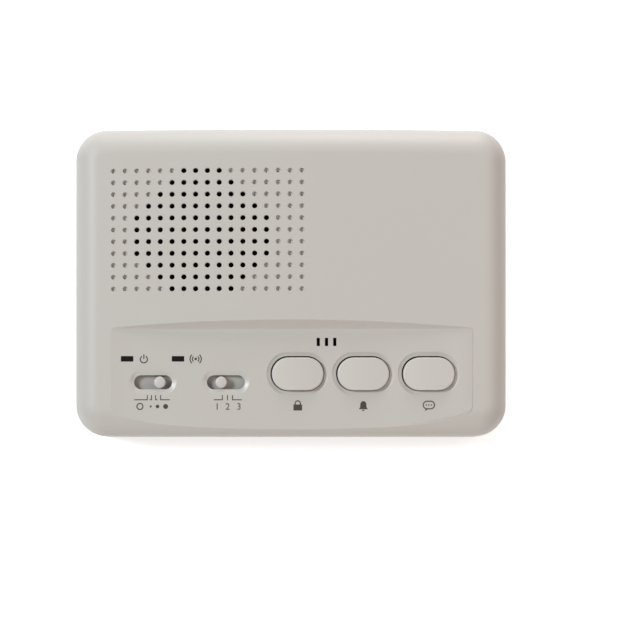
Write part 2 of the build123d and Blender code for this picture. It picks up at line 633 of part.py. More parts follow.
def push_button(name, u):
    """Key cap, switch body, plunger and return leaf of one push button."""
    with BuildPart() as cap:
        with BuildSketch(face_plane(u, BUTTON_V, FLANGE_BOTTOM_N)):
            SlotOverall(BUTTON_LENGTH, BUTTON_BREADTH)
        extrude(amount=BUTTON_TOP_N - FLANGE_BOTTOM_N)
        with BuildSketch(cross_plane(u, BUTTON_V, BUTTON_TOP_N - BUTTON_CROWN_R)):
            Circle(BUTTON_CROWN_R)
        extrude(amount=BUTTON_BREADTH, both=True, mode=Mode.INTERSECT)
        with BuildSketch(face_plane(u, BUTTON_V, FLANGE_BOTTOM_N)):
            flange = Rectangle(BUTTON_LENGTH + 2 * FLANGE_RIM, BUTTON_BREADTH + 2 * FLANGE_RIM)
            chamfer(flange.vertices(), FLANGE_CORNER)
        extrude(amount=FLANGE_THICKNESS)
        with BuildSketch(face_plane(u, BUTTON_V, FLANGE_BOTTOM_N)):
            Rectangle(BUTTON_LENGTH - BUTTON_BREADTH, BUTTON_BREADTH - 2 * BUTTON_WALL)
        extrude(amount=BUTTON_ROOF_N - FLANGE_BOTTOM_N, mode=Mode.SUBTRACT)
        with BuildSketch(face_plane(u, BUTTON_V, SOCKET_N)):
            Rectangle(2 * SOCKET_R, 2 * SOCKET_R)
        extrude(amount=BUTTON_ROOF_N - SOCKET_N)
        with BuildSketch(face_plane(u, BUTTON_V, SOCKET_N)):
            Rectangle(PLUNGER, PLUNGER)
        extrude(amount=PLUNGER_TOP_N - SOCKET_N, mode=Mode.SUBTRACT)
    save(cap, f"{name}_button")

    with BuildPart() as body:
        with BuildSketch(face_plane(u, BUTTON_V, BOARD_N)):
            Rectangle(SWITCH_SIDE, SWITCH_SIDE)
        extrude(amount=SWITCH_HEIGHT)
        with BuildSketch(face_plane(u, BUTTON_V, BOARD_N + SWITCH_WALL)):
            Rectangle(SHOULDER + 2 * SLIDE_FIT, SHOULDER + 2 * SLIDE_FIT)
        extrude(amount=SWITCH_HEIGHT - 2 * SWITCH_WALL, mode=Mode.SUBTRACT)
        with BuildSketch(face_plane(u, BUTTON_V, SWITCH_TOP_N)):
            Rectangle(PLUNGER + 2 * SLIDE_FIT, PLUNGER + 2 * SLIDE_FIT)
        extrude(amount=-2 * SWITCH_WALL, mode=Mode.SUBTRACT)
    save(body, f"{name}_switch_body")

    with BuildPart() as plunger:
        with BuildSketch(face_plane(u, BUTTON_V, PLUNGER_TOP_N)):
            Rectangle(PLUNGER, PLUNGER)
        extrude(amount=-PLUNGER_LENGTH)
        with BuildSketch(face_plane(u, BUTTON_V, SWITCH_TOP_N - SWITCH_WALL - SLIDE_FIT)):
            Rectangle(SHOULDER, SHOULDER)
        extrude(amount=-SHOULDER_HEIGHT)
    save(plunger, f"{name}_switch_plunger")

    with BuildPart() as leaf:
        half = LEAF / 2
        rise = BUTTON_ROOF_N - SWITCH_TOP_N - LEAF
        with BuildSketch(cross_plane(u, BUTTON_V + LEAF_V, SWITCH_TOP_N)):
            with BuildLine():
                Polyline((LEAF_ARM, half), (-LEAF_ARM, half), (LEAF_ARM, rise))
            trace(line_width=LEAF)
        extrude(amount=LEAF_BREADTH / 2, both=True)
    save(leaf, f"{name}_return_spring")


for button, across in BUTTON_U.items():
    push_button(button, across)


def slide_switch(name):
    """Knob, frame and slider of one slide switch, drawn in its resting detent."""
    travel = (SLIDE_DETENTS[name] - 1) * DETENT_PITCH
    middle = SLIDE_U[name]
    rest = middle - travel / 2 + SLIDE_REST[name] * DETENT_PITCH
    skirt_top = PANEL_UNDER_N - SLIDE_FIT
    skirt_bottom = skirt_top - KNOB_SKIRT_THICKNESS
    with BuildPart() as knob:
        with BuildSketch(face_plane(rest, SLIDE_V, skirt_top)):
            RegularPolygon(KNOB_R, KNOB_SIDES)
        extrude(amount=PANEL_N + KNOB_PROUD - skirt_top)
        chamfer(knob.faces().sort_by(Axis.Z)[-1].edges(), KNOB_CHAMFER)
        with BuildSketch(face_plane(rest, SLIDE_V, skirt_bottom)):
            Rectangle(SLOT_LENGTH + travel + 2 * KNOB_SKIRT_LAP, KNOB_SKIRT_BREADTH)
        extrude(amount=KNOB_SKIRT_THICKNESS)
        with BuildSketch(face_plane(rest, SLIDE_V, skirt_bottom)):
            Rectangle(LEVER + 2 * KNOB_SOCKET_WALL, LEVER + 2 * KNOB_SOCKET_WALL)
            Rectangle(LEVER, LEVER, mode=Mode.SUBTRACT)
        extrude(amount=-KNOB_SOCKET_DEPTH)
    save(knob, f"{name}_knob")

    with BuildPart() as frame:
        room = SLIDER_LENGTH + travel + 2 * SLIDE_PLAY
        with BuildSketch(face_plane(middle, SLIDE_V, BOARD_N)):
            Rectangle(room + 2 * SHEET, SLIDER_BREADTH + 2 * SLIDE_FIT + 2 * SHEET)
        extrude(amount=FRAME_HEIGHT)
        with BuildSketch(face_plane(middle, SLIDE_V, BOARD_N)):
            Rectangle(room, SLIDER_BREADTH + 2 * SLIDE_FIT)
        extrude(amount=FRAME_HEIGHT - SHEET, mode=Mode.SUBTRACT)
        with BuildSketch(face_plane(middle, SLIDE_V, BOARD_N)):
            Rectangle(LEVER + travel + 2 * SLIDE_PLAY, LEVER + 2 * SLIDE_FIT)
        extrude(amount=FRAME_HEIGHT, mode=Mode.SUBTRACT)
    save(frame, f"{name}_switch_frame")

    with BuildPart() as slider:
        with BuildSketch(face_plane(rest, SLIDE_V, BOARD_N + SLIDE_FIT)):
            Rectangle(SLIDER_LENGTH, SLIDER_BREADTH)
        extrude(amount=FRAME_HEIGHT - SHEET - 2 * SLIDE_FIT)
        with BuildSketch(face_plane(rest, SLIDE_V, BOARD_N + SLIDE_FIT)):
            Rectangle(LEVER, LEVER)
        extrude(amount=skirt_bottom - BOARD_N - SLIDE_FIT)
    save(slider, f"{name}_switch_slider")


for switch in SLIDE_U:
    slide_switch(switch)

# Indicator lamps
for lamp, across in LAMP_U.items():
    with BuildPart() as led:
        with BuildSketch(face_plane(across, LAMP_V, PANEL_N - LAMP_GAP)):
            Rectangle(LAMP_LENGTH, LAMP_BREADTH)
        extrude(amount=-LAMP_HEIGHT)
        with BuildSketch(face_plane(across, LAMP_V, PANEL_N - LAMP_GAP - LAMP_HEIGHT)):
            Rectangle(LAMP_LENGTH + 2 * LAMP_FLANGE, LAMP_BREADTH + 2 * LAMP_FLANGE)
        extrude(amount=LAMP_FLANGE)
        with BuildSketch(face_plane(across, LAMP_V, BOARD_N)):
            with GridLocations(LEG_PITCH, LEG_PITCH, 2, 1):
                Rectangle(LAMP_FLANGE, LAMP_FLANGE)
        extrude(amount=PANEL_N - LAMP_GAP - LAMP_HEIGHT - BOARD_N)
    save(led, f"{lamp}_led")

# Microphone: an electret capsule in a rubber boot, pushed into the cover's tube
with BuildPart() as microphone_boot:
    with BuildSketch(face_plane(MIC_U, MIC_V, PANEL_UNDER_N - FIT)):
        RegularPolygon(MIC_BOOT_R, POST_SIDES)
    extrude(amount=-MIC_BOOT_HEIGHT)
    with BuildSketch(face_plane(MIC_U, MIC_V, PANEL_UNDER_N - FIT)):
        RegularPolygon(MIC_MOUTH_R, POST_SIDES)
    extrude(amount=-MIC_BOOT_HEIGHT, mode=Mode.SUBTRACT)
    with BuildSketch(face_plane(MIC_U, MIC_V, MIC_FRONT_N)):
        RegularPolygon(MIC_R + FIT, POST_SIDES)
    extrude(amount=-MIC_BOOT_HEIGHT, mode=Mode.SUBTRACT)
save(microphone_boot, "microphone_boot")

with BuildPart() as microphone_capsule:
    with BuildSketch(face_plane(MIC_U, MIC_V, MIC_FRONT_N)):
        RegularPolygon(MIC_R, POST_SIDES)
    extrude(amount=-MIC_HEIGHT)
    with BuildSketch(face_plane(MIC_U, MIC_V, BOARD_N)):
        with GridLocations(LEG_PITCH, LEG_PITCH, 2, 1):
            Rectangle(LAMP_FLANGE, LAMP_FLANGE)
    extrude(amount=MIC_FRONT_N - MIC_HEIGHT - BOARD_N)
save(microphone_capsule, "microphone_capsule")


def speaker_ring(level, thickness, radius, bore):
    """Flat ring about the loudspeaker's axis, reaching down from a level."""
    with BuildPart() as ring:
        with BuildSketch(face_plane(SPEAKER_U, SPEAKER_V, level)):
            RegularPolygon(radius, SPEAKER_SIDES)
            RegularPolygon(bore, SPEAKER_SIDES, mode=Mode.SUBTRACT)
        extrude(amount=-thickness)
    return ring.part


def speaker_cup(*outlines):
    """Flat-sided solid about the loudspeaker's axis, with a radius for each of its levels."""
    flat = cos(radians(180 / SPEAKER_SIDES))
    edge = [(radius * flat, level) for level, radius in outlines]
    profile = edge + [(-half_width, level) for half_width, level in reversed(edge)]
    with BuildPart() as cup:
        for side in range(SPEAKER_SIDES // 2):
            angle = radians((side + 0.5) * 360 / SPEAKER_SIDES)
            across = face.x_dir * cos(angle) + face.y_dir * sin(angle)
            section = Plane(
                face_point(SPEAKER_U, SPEAKER_V, 0), x_dir=across, z_dir=across.cross(face.z_dir)
            )
            with BuildSketch(section):
                with BuildLine():
                    Polyline(*profile, close=True)
                make_face()
            extrude(amount=SPEAKER_R, both=True, mode=Mode.INTERSECT if side else Mode.ADD)
    return cup.part


# Loudspeaker, built down from its seat on the cover
with BuildPart() as grille_felt:
    with BuildSketch(face_plane(SPEAKER_U, SPEAKER_V, FELT_N)):
        RegularPolygon(SPEAKER_R, SPEAKER_SIDES)
    extrude(amount=FELT_THICKNESS)
save(grille_felt, "grille_felt")

with BuildPart() as speaker_gasket:
    add(speaker_ring(FELT_N, GASKET_THICKNESS, SPEAKER_R, BASKET_MOUTH_R))
save(speaker_gasket, "speaker_gasket")

with BuildPart() as speaker_basket:
    add(speaker_cup((FRONT_PLATE_N, PLATE_R), (BASKET_N, BASKET_MOUTH_R - SHEET)))
    add(speaker_ring(SURROUND_N, SHEET, SPEAKER_R, PLATE_R))
    add(speaker_cup((BASKET_FLOOR_N, PLATE_R + SHEET), (SURROUND_N, BASKET_MOUTH_R)), mode=Mode.SUBTRACT)
    with BuildSketch(face_plane(SPEAKER_U, SPEAKER_V, BASKET_N)):
        with PolarLocations((BASKET_MOUTH_R + PLATE_R) / 2, BASKET_LEGS):
            Rectangle((BASKET_MOUTH_R - PLATE_R) / 2, PLATE_R)
        RegularPolygon(GAP_R, SPEAKER_SIDES)
    extrude(amount=-BASKET_DEPTH, mode=Mode.SUBTRACT)
save(speaker_basket, "speaker_basket")

with BuildPart() as speaker_surround:
    add(speaker_ring(GASKET_N, SURROUND_THICKNESS, SURROUND_R, CONE_LIP_R))
    add(speaker_ring(GASKET_N, ROLL_DIP + SURROUND_THICKNESS, ROLL_OUT_R, ROLL_IN_R))
    groove = speaker_ring(GASKET_N, ROLL_DIP, ROLL_OUT_R - SURROUND_THICKNESS, ROLL_IN_R + SURROUND_THICKNESS)
    add(groove, mode=Mode.SUBTRACT)
save(speaker_surround, "speaker_surround")

cone_slope = (SURROUND_N - CONE_NECK_N) / (CONE_LIP_R - COIL_R)
cap_edge_n = CONE_NECK_N + (DUST_CAP_R - COIL_R) * cone_slope
cap_top_n = CONE_NECK_N + DUST_CAP_RISE
cap_bend_n = cap_top_n - DUST_CAP_DROP
coil_out_r = COIL_R + COIL_WALL
with BuildPart() as speaker_cone:
    lip_n = SURROUND_N - PAPER
    add(speaker_cup((CONE_NECK_N - PAPER, coil_out_r), (lip_n, CONE_LIP_R), (SURROUND_N, CONE_LIP_R)))
    add(speaker_cup((cap_edge_n, DUST_CAP_R), (SURROUND_N, CONE_LIP_R)), mode=Mode.SUBTRACT)
    add(speaker_cup((cap_edge_n, DUST_CAP_R), (cap_bend_n, DUST_CAP_BEND_R), (cap_top_n, DUST_CAP_TOP_R)))
    add(speaker_cup((CONE_NECK_N - COIL_LENGTH, coil_out_r), (CONE_NECK_N, coil_out_r)))
    hollow = speaker_cup(
        (CONE_NECK_N - COIL_LENGTH, COIL_R),
        (CONE_NECK_N, COIL_R),
        (cap_bend_n - PAPER, DUST_CAP_BEND_R - PAPER),
        (cap_top_n - PAPER, DUST_CAP_TOP_R),
    )
    add(hollow, mode=Mode.SUBTRACT)
    add(speaker_ring(SURROUND_N, PAPER, ROLL_IN_R - SURROUND_THICKNESS, CONE_LIP_R - PAPER))
save(speaker_cone, "speaker_cone")

with BuildPart() as speaker_front_plate:
    add(speaker_ring(FRONT_PLATE_N, PLATE_THICKNESS, PLATE_R, GAP_R))
save(speaker_front_plate, "speaker_front_plate")

with BuildPart() as speaker_magnet:
    add(speaker_ring(FRONT_PLATE_N - PLATE_THICKNESS, MAGNET_THICKNESS, MAGNET_R, MAGNET_BORE_R))
save(speaker_magnet, "speaker_magnet")

with BuildPart() as speaker_pole_piece:
    with BuildSketch(face_plane(SPEAKER_U, SPEAKER_V, BACK_PLATE_N)):
        RegularPolygon(MAGNET_R - PLATE_THICKNESS, SPEAKER_SIDES)
    extrude(amount=-PLATE_THICKNESS)
    with BuildSketch(face_plane(SPEAKER_U, SPEAKER_V, BACK_PLATE_N)):
        RegularPolygon(POLE_R, SPEAKER_SIDES)
    extrude(amount=FRONT_PLATE_N - BACK_PLATE_N)
save(speaker_pole_piece, "speaker_pole_piece")

with BuildPart() as speaker_terminals:
    with BuildSketch(face_plane(SPEAKER_U, SPEAKER_V - TERMINAL_R, BASKET_N)):
        Rectangle(TERMINAL_LENGTH, TERMINAL_BREADTH)
    extrude(amount=-TERMINAL_THICKNESS)
save(speaker_terminals, "speaker_terminals")

with BuildPart() as speaker_clips:
    with BuildSketch(face_plane(SPEAKER_U, SPEAKER_V, BASKET_N)):
        with PolarLocations(CLIP_CIRCLE_R, CLIP_COUNT, start_angle=CLIP_START):
            with Locations((CLIP_OFFSET, 0)):
                Rectangle(CLIP_LENGTH, CLIP_BREADTH)
            RegularPolygon(SCREW_CLEAR_R, SCREW_SIDES, mode=Mode.SUBTRACT)
    extrude(amount=-CLIP_THICKNESS)
save(speaker_clips, "speaker_clips")

# Circuit board and what stands on it
with BuildPart() as circuit_board:
    board_middle = (BOARD_FRONT_V + BOARD_BACK_V) / 2
    with BuildSketch(face_plane(n=BOARD_N)):
        with Locations((0, board_middle)):
            Rectangle(2 * BOARD_HALF_WIDTH, BOARD_BACK_V - BOARD_FRONT_V)
        with Locations(*BOARD_POSTS):
            RegularPolygon(SCREW_CLEAR_R, SCREW_SIDES, mode=Mode.SUBTRACT)
    extrude(amount=-BOARD_THICKNESS)
save(circuit_board, "circuit_board")

with BuildPart() as coil_cans:
    with BuildSketch(face_plane(n=BOARD_N)):
        with Locations(*CAN_SPOTS):
            Rectangle(CAN_SIDE, CAN_SIDE)
    extrude(amount=CAN_HEIGHT)
    with BuildSketch(face_plane(n=BOARD_N + CAN_HEIGHT)):
        with Locations(*CAN_SPOTS):
            RegularPolygon(CAN_HOLE_R, SCREW_SIDES)
    extrude(amount=-CAN_HEIGHT / 2, mode=Mode.SUBTRACT)
save(coil_cans, "coil_cans")

with BuildPart() as capacitors:
    with BuildSketch(face_plane(n=BOARD_N)):
        with Locations(*CAPACITOR_SPOTS):
            RegularPolygon(CAPACITOR_R, POST_SIDES)
    extrude(amount=CAPACITOR_HEIGHT)
save(capacitors, "capacitors")

with BuildPart() as ic_chips:
    for (chip_u, chip_v), pins in CHIPS.items():
        with BuildSketch(face_plane(chip_u, chip_v, BOARD_N + CHIP_STAND)):
            Rectangle(pins * LEG_PITCH, CHIP_BREADTH)
        extrude(amount=CHIP_HEIGHT)
        with BuildSketch(face_plane(chip_u, chip_v, BOARD_N)):
            with GridLocations(LEG_PITCH, PIN_ROWS, 1, 2):
                Rectangle((pins - 1) * LEG_PITCH + PIN_WIDTH, PIN_WIDTH)
        extrude(amount=CHIP_STAND + CHIP_HEIGHT / 2)
save(ic_chips, "ic_chips")

with BuildPart() as fuse:
    fuse_section = Plane(face_point(FUSE_U, FUSE_V, FUSE_N), x_dir=face.y_dir, z_dir=face.x_dir)
    with BuildSketch(fuse_section):
        RegularPolygon(FUSE_CAP_R, SCREW_SIDES)
    extrude(amount=FUSE_LENGTH / 2, both=True)
    with BuildSketch(fuse_section):
        RegularPolygon(FUSE_CAP_R, SCREW_SIDES)
        RegularPolygon(FUSE_GLASS_R, SCREW_SIDES, mode=Mode.SUBTRACT)
    extrude(amount=FUSE_LENGTH / 2 - FUSE_CAP_LENGTH, both=True, mode=Mode.SUBTRACT)
save(fuse, "fuse")

with BuildPart() as fuse_clips:
    inner = FUSE_CAP_R + FIT
    with BuildSketch(face_plane(FUSE_U, FUSE_V, BOARD_N)):
        with GridLocations(FUSE_LENGTH - FUSE_CAP_LENGTH, 0, 2, 1):
            Rectangle(FUSE_CAP_LENGTH - 2 * FIT, 2 * inner + 2 * FUSE_CLIP)
    extrude(amount=FUSE_N - BOARD_N + FUSE_CAP_R)
    with BuildSketch(face_plane(FUSE_U, FUSE_V, BOARD_N + FUSE_CLIP)):
        with GridLocations(FUSE_LENGTH - FUSE_CAP_LENGTH, 0, 2, 1):
            Rectangle(FUSE_CAP_LENGTH, 2 * inner)
    extrude(amount=FUSE_N - BOARD_N + FUSE_CAP_R, mode=Mode.SUBTRACT)
save(fuse_clips, "fuse_clips")

# Mains transformer, standing on two ribs of the base under a steel strap
core_bottom = FLOOR_TOP + BOSS_HEIGHT
core_middle = core_bottom + CORE_HEIGHT / 2
window_height = CORE_HEIGHT - 2 * CORE_YOKE
core_section = Plane((CORE_X, CORE_Y, core_middle), x_dir=(1, 0, 0), z_dir=(0, -1, 0))
with BuildPart() as transformer_core:
    with BuildSketch(core_section):
        Rectangle(CORE_WIDTH, CORE_HEIGHT)
        Rectangle(CORE_WIDTH - 2 * CORE_YOKE, window_height, mode=Mode.SUBTRACT)
        Rectangle(CORE_LEG, window_height)
    extrude(amount=CORE_STACK / 2, both=True)
save(transformer_core, "transformer_core")

tube_width = CORE_LEG + 2 * BOBBIN_WALL
tube_depth = CORE_STACK + 2 * BOBBIN_WALL
with BuildPart() as transformer_bobbin:
    with BuildSketch(Plane((CORE_X, CORE_Y, core_middle - window_height / 2))):
        Rectangle(tube_width + 2 * BOBBIN_FLANGE, tube_depth + 2 * BOBBIN_FLANGE)
        Rectangle(CORE_LEG, CORE_STACK, mode=Mode.SUBTRACT)
    extrude(amount=window_height)
    with BuildSketch(Plane((CORE_X, CORE_Y, core_middle - window_height / 2 + BOBBIN_WALL))):
        Rectangle(tube_width + 2 * BOBBIN_FLANGE, tube_depth + 2 * BOBBIN_FLANGE)
        Rectangle(tube_width, tube_depth, mode=Mode.SUBTRACT)
    extrude(amount=window_height - 2 * BOBBIN_WALL, mode=Mode.SUBTRACT)
save(transformer_bobbin, "transformer_bobbin")

with BuildPart() as transformer_winding:
    with BuildSketch(Plane((CORE_X, CORE_Y, core_middle - window_height / 2 + BOBBIN_WALL))):
        winding = Rectangle(tube_width + 2 * WINDING_FILL, tube_depth + 2 * WINDING_FILL)
        chamfer(winding.vertices(), WINDING_FILL / 2)
        Rectangle(tube_width, tube_depth, mode=Mode.SUBTRACT)
    extrude(amount=window_height - 2 * BOBBIN_WALL)
save(transformer_winding, "transformer_winding")

with BuildPart() as transformer_strap:
    foot_z = (STRAP - CORE_HEIGHT) / 2
    side_x = (CORE_WIDTH + STRAP) / 2
    foot_x = STRAP_SCREW_X + BOSS_R
    top_z = (CORE_HEIGHT + STRAP) / 2
    with BuildSketch(core_section):
        with BuildLine():
            Polyline(
                (-foot_x, foot_z),
                (-side_x, foot_z),
                (-side_x, top_z),
                (side_x, top_z),
                (side_x, foot_z),
                (foot_x, foot_z),
            )
        trace(line_width=STRAP)
    extrude(amount=CORE_STACK / 2 - STRAP, both=True)
    with BuildSketch(strap_seat):
        with Locations(*strap_spots):
            RegularPolygon(SCREW_CLEAR_R, SCREW_SIDES)
    extrude(amount=STRAP, mode=Mode.SUBTRACT)
save(transformer_strap, "transformer_strap")


def flat_lead(name, route):
    """Flat twin lead along a route of straight runs and arcs."""
    with BuildPart() as lead:
        with BuildLine() as path:
            FilletPolyline(*route, radius=LEAD_BEND_R)
        with BuildSketch(Plane(origin=path.line @ 0, x_dir=(1, 0, 0), z_dir=path.line % 0)):
            Rectangle(LEAD_WIDTH, LEAD_THICKNESS)
        sweep()
    print(name, "run", round(path.wire().length, 2), "mm with bends of", LEAD_BEND_R, "mm")
    save(lead, name)


terminal_v = SPEAKER_V - TERMINAL_R
terminal_n = BASKET_N - TERMINAL_THICKNESS
landing_v = BOARD_BACK_V - LEAD_LAND
speaker_route = [
    face_point(SPEAKER_U, terminal_v, terminal_n),
    face_point(SPEAKER_U, terminal_v, terminal_n - LEAD_DROP),
    face_point(SPEAKER_U, landing_v, BOARD_N + LEAD_DROP),
    face_point(SPEAKER_U, landing_v, BOARD_N),
]
flat_lead("speaker_leads", speaker_route)

winding_front_y = CORE_Y - tube_depth / 2 - WINDING_FILL
transformer_route = [
    (CORE_X, winding_front_y, core_middle),
    (CORE_X, winding_front_y - 2 * LEAD_DROP, core_middle - LEAD_THICKNESS),
    face_point(CORE_X, landing_v, BOARD_N + LEAD_DROP),
    face_point(CORE_X, landing_v, BOARD_N),
]
flat_lead("transformer_leads", transformer_route)
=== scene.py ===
# %% [markdown]
# # A desktop intercom station
# A low grey box for a desk: an arched lid with a loudspeaker grille, and a flat panel with three push
# buttons, two slide switches and two lamps. The engineering model gives the frame, with every piece in
# its place and every joint. This lesson gives it the skin, the finishes and the light.

# %% Load the frame
import json
from collections import namedtuple
from math import cos, pi, radians, sin, tan

import bpy
import numpy as np
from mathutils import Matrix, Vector
from mathutils.geometry import delaunay_2d_cdt


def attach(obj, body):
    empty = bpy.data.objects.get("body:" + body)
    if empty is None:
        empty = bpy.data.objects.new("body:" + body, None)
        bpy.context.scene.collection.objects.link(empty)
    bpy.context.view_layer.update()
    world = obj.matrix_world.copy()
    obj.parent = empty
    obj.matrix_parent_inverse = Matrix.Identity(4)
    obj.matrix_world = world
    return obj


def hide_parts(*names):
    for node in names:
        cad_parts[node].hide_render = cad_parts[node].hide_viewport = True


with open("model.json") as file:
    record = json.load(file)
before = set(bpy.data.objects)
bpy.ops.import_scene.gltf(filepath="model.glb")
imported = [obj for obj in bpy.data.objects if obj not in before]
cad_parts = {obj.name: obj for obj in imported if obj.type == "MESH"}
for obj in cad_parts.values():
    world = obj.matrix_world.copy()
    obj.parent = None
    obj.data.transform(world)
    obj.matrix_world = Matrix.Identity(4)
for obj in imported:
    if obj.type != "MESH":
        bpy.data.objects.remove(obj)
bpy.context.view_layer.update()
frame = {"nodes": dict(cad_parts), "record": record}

# %% [markdown]
# ## Sizes
# The lid is described on its own leaning face: u runs across it, v up it and n out of it, in millimetres.
# One function turns such points into the part's own frame, which stands level on the table. Points are in
# millimetres until a mesh is built from them, in metres.

# %% Sizes of the case
MM = 0.001
CASE_WIDTH = 166.4
CASE_DEPTH = 118.4
CORNER_R = 12.0
ROLL_R = 10.5
CROWN_R = 790.0
SKIN = 2.0
TILT = radians(5.0)
FACE_HEIGHT = 36.0
PARTING_HEIGHT = 14.0
BASE_DEPTH = CASE_DEPTH / cos(TILT)
LEAN_BACK = (FACE_HEIGHT - PARTING_HEIGHT) * tan(TILT)
FRONT_REACH = (CASE_DEPTH / 2 - ROLL_R) * cos(TILT) + ROLL_R * (1 - sin(TILT))
FACE_Y = (FRONT_REACH - BASE_DEPTH / 2 - LEAN_BACK) / 2
SPINE_U = CASE_WIDTH / 2 - ROLL_R
SPINE_V = CASE_DEPTH / 2 - ROLL_R


def turn_from_face(directions):
    """Directions across, up and out of the face, turned into the part's frame."""
    u, v, n = np.asarray(directions, float).T
    return np.column_stack([u, v * cos(TILT) - n * sin(TILT), v * sin(TILT) + n * cos(TILT)])


def place_from_face(points):
    """Points across, up and out of the face, placed in the part's frame."""
    return turn_from_face(points) + (0, FACE_Y, FACE_HEIGHT)


print("middle of the face:", place_from_face([(0, 0, 0)])[0].round(3), "mm")

# %% [markdown]
# ## Node trees written as maths
# Finishes and repeated shapes are both node trees. Placing every Math node by hand hides what is being
# worked out, so a small class stands for a value in a tree and adds the node when two values are summed,
# multiplied or compared. Every other kind of node comes from one method.


# %% Values in a node tree
class Signal:
    """A value on its way through a node tree, which can be used in plain sums."""

    def __init__(self, graph, socket):
        self.graph = graph
        self.socket = socket

    def combine(self, operation, first, second=0.0):
        return self.graph.add("ShaderNodeMath", {0: first, 1: second}, operation=operation)

    def __add__(self, other):
        return self.combine("ADD", self, other)

    def __radd__(self, other):
        return self.combine("ADD", other, self)

    def __sub__(self, other):
        return self.combine("SUBTRACT", self, other)

    def __rsub__(self, other):
        return self.combine("SUBTRACT", other, self)

    def __mul__(self, other):
        return self.combine("MULTIPLY", self, other)

    def __rmul__(self, other):
        return self.combine("MULTIPLY", other, self)

    def __truediv__(self, other):
        return self.combine("DIVIDE", self, other)

    def __lt__(self, other):
        return self.combine("LESS_THAN", self, other)

    def __abs__(self):
        return self.combine("ABSOLUTE", self)

    def root(self):
        return self.combine("SQRT", self)

    def larger(self, other):
        return self.combine("MAXIMUM", self, other)

    def smaller(self, other):
        return self.combine("MINIMUM", self, other)

    def share(self):
        """This value, held between 0 and 1."""
        return self.larger(0.0).smaller(1.0)

    def other(self, output):
        """Another output of the node that gave this value."""
        return Signal(self.graph, self.socket.node.outputs[output])


class Graph:
    """A node tree that is filled one node at a time."""

    def __init__(self, tree):
        self.tree = tree

    def feed(self, node, sockets):
        """Give a node's sockets their values: a link for a signal, a setting for anything else."""
        for name, value in sockets.items():
            if isinstance(value, Signal):
                self.tree.links.new(value.socket, node.inputs[name])
            else:
                node.inputs[name].default_value = value

    def add(self, kind, sockets=None, output=0, **settings):
        """Make a node, set it up, feed its sockets and return one of its outputs."""
        node = self.tree.nodes.new(kind)
        for name, value in settings.items():
            setattr(node, name, value)
        self.feed(node, sockets or {})
        return Signal(self, node.outputs[output]) if node.outputs else node

    def mix(self, share, first, second):
        """A colour that goes from one to another as a share goes from 0 to 1."""
        return self.add("ShaderNodeMix", {0: share, 6: first, 7: second}, 2, data_type="RGBA")


# %% [markdown]
# ## Finishes
# Moulded plastic is never one flat colour. The tool that shaped it was spark-eroded, which leaves a fine
# grain, and the pigment drifts a little. Each finish here starts from the same recipe: broad drift and
# fine grain shift the colour and the gloss by a few parts in a hundred, and the grain also raises a bump.
# Object coordinates keep the grain at its real size on every piece.

# %% The common recipe
BROAD_SCALE = 15.0
BROAD_SHARE = 0.65
GLOSS_SPREAD = 0.2
GRAIN_RELIEF = 0.3


def start_finish(name, colour, roughness, grain, drift=0.05, bump=0.15, metal=0.0, coat=0.0, specular=0.5):
    """Start a finish: colour and gloss vary with broad drift and with grain of a given size."""
    material = bpy.data.materials.new(name)
    material.use_nodes = True
    graph = Graph(material.node_tree)
    shader = material.node_tree.nodes["Principled BSDF"]
    place = graph.add("ShaderNodeTexCoord", output="Object")
    broad = graph.add("ShaderNodeTexNoise", {"Vector": place, "Scale": BROAD_SCALE, "Detail": 2.0})
    fine = graph.add("ShaderNodeTexNoise", {"Vector": place, "Scale": 1 / (grain * MM), "Detail": 3.0})
    dark = (*[part * (1 - drift) for part in colour], 1)
    light = (*[min(1.0, part * (1 + drift)) for part in colour], 1)
    blend = BROAD_SHARE * broad + (1 - BROAD_SHARE) * fine
    relief = {"Strength": bump, "Distance": GRAIN_RELIEF * grain * MM, "Height": fine}
    graph.feed(shader, {
        "Base Color": graph.mix(blend, dark, light),
        "Roughness": roughness * (1 - GLOSS_SPREAD / 2 + GLOSS_SPREAD * fine),
        "Normal": graph.add("ShaderNodeBump", relief),
        "Metallic": metal,
        "Coat Weight": coat,
        "Specular IOR Level": specular,
    })
    return material, graph, place, shader


def plain_finish(name, **recipe):
    """A finish that needs nothing beyond the recipe."""
    return start_finish(name, **recipe)[0]


# %% [markdown]
# The lid, the base and the keys are the same warm grey plastic. Keys are polished a little by fingers, so
# their grain is finer and they shine more. Printed signs are a dull dark ink.

# %% Keys and ink
KEY_GREY = (0.58, 0.548, 0.516)
INK_BROWN = (0.055, 0.048, 0.042)
key_plastic = plain_finish(
    "key_plastic", colour=KEY_GREY, roughness=0.36, grain=0.25, drift=0.02, bump=0.05, specular=0.35
)
panel_ink = plain_finish("panel_ink", colour=INK_BROWN, roughness=0.6, grain=0.3, drift=0.2, bump=0.08)
print("plain finishes:", key_plastic.name, panel_ink.name)

# %% [markdown]
# Fingertips also reach into the funnels round the two slide switches, and leave a shine there. The lid's
# finish works out, from a point's place on the leaning face, how far it lies from the nearest slot, and
# gets a smooth coat close to it, so the funnel's far end catches the light.


# %% Case plastic, shiny round the slide switches
def places_on_face(graph, place):
    """Where a point lies across, up and out of the leaning face, in metres."""
    axes = graph.add("ShaderNodeSeparateXYZ", {0: place})
    back = axes.other("Y") - FACE_Y * MM
    upward = axes.other("Z") - FACE_HEIGHT * MM
    return axes, cos(TILT) * back + sin(TILT) * upward, cos(TILT) * upward - sin(TILT) * back


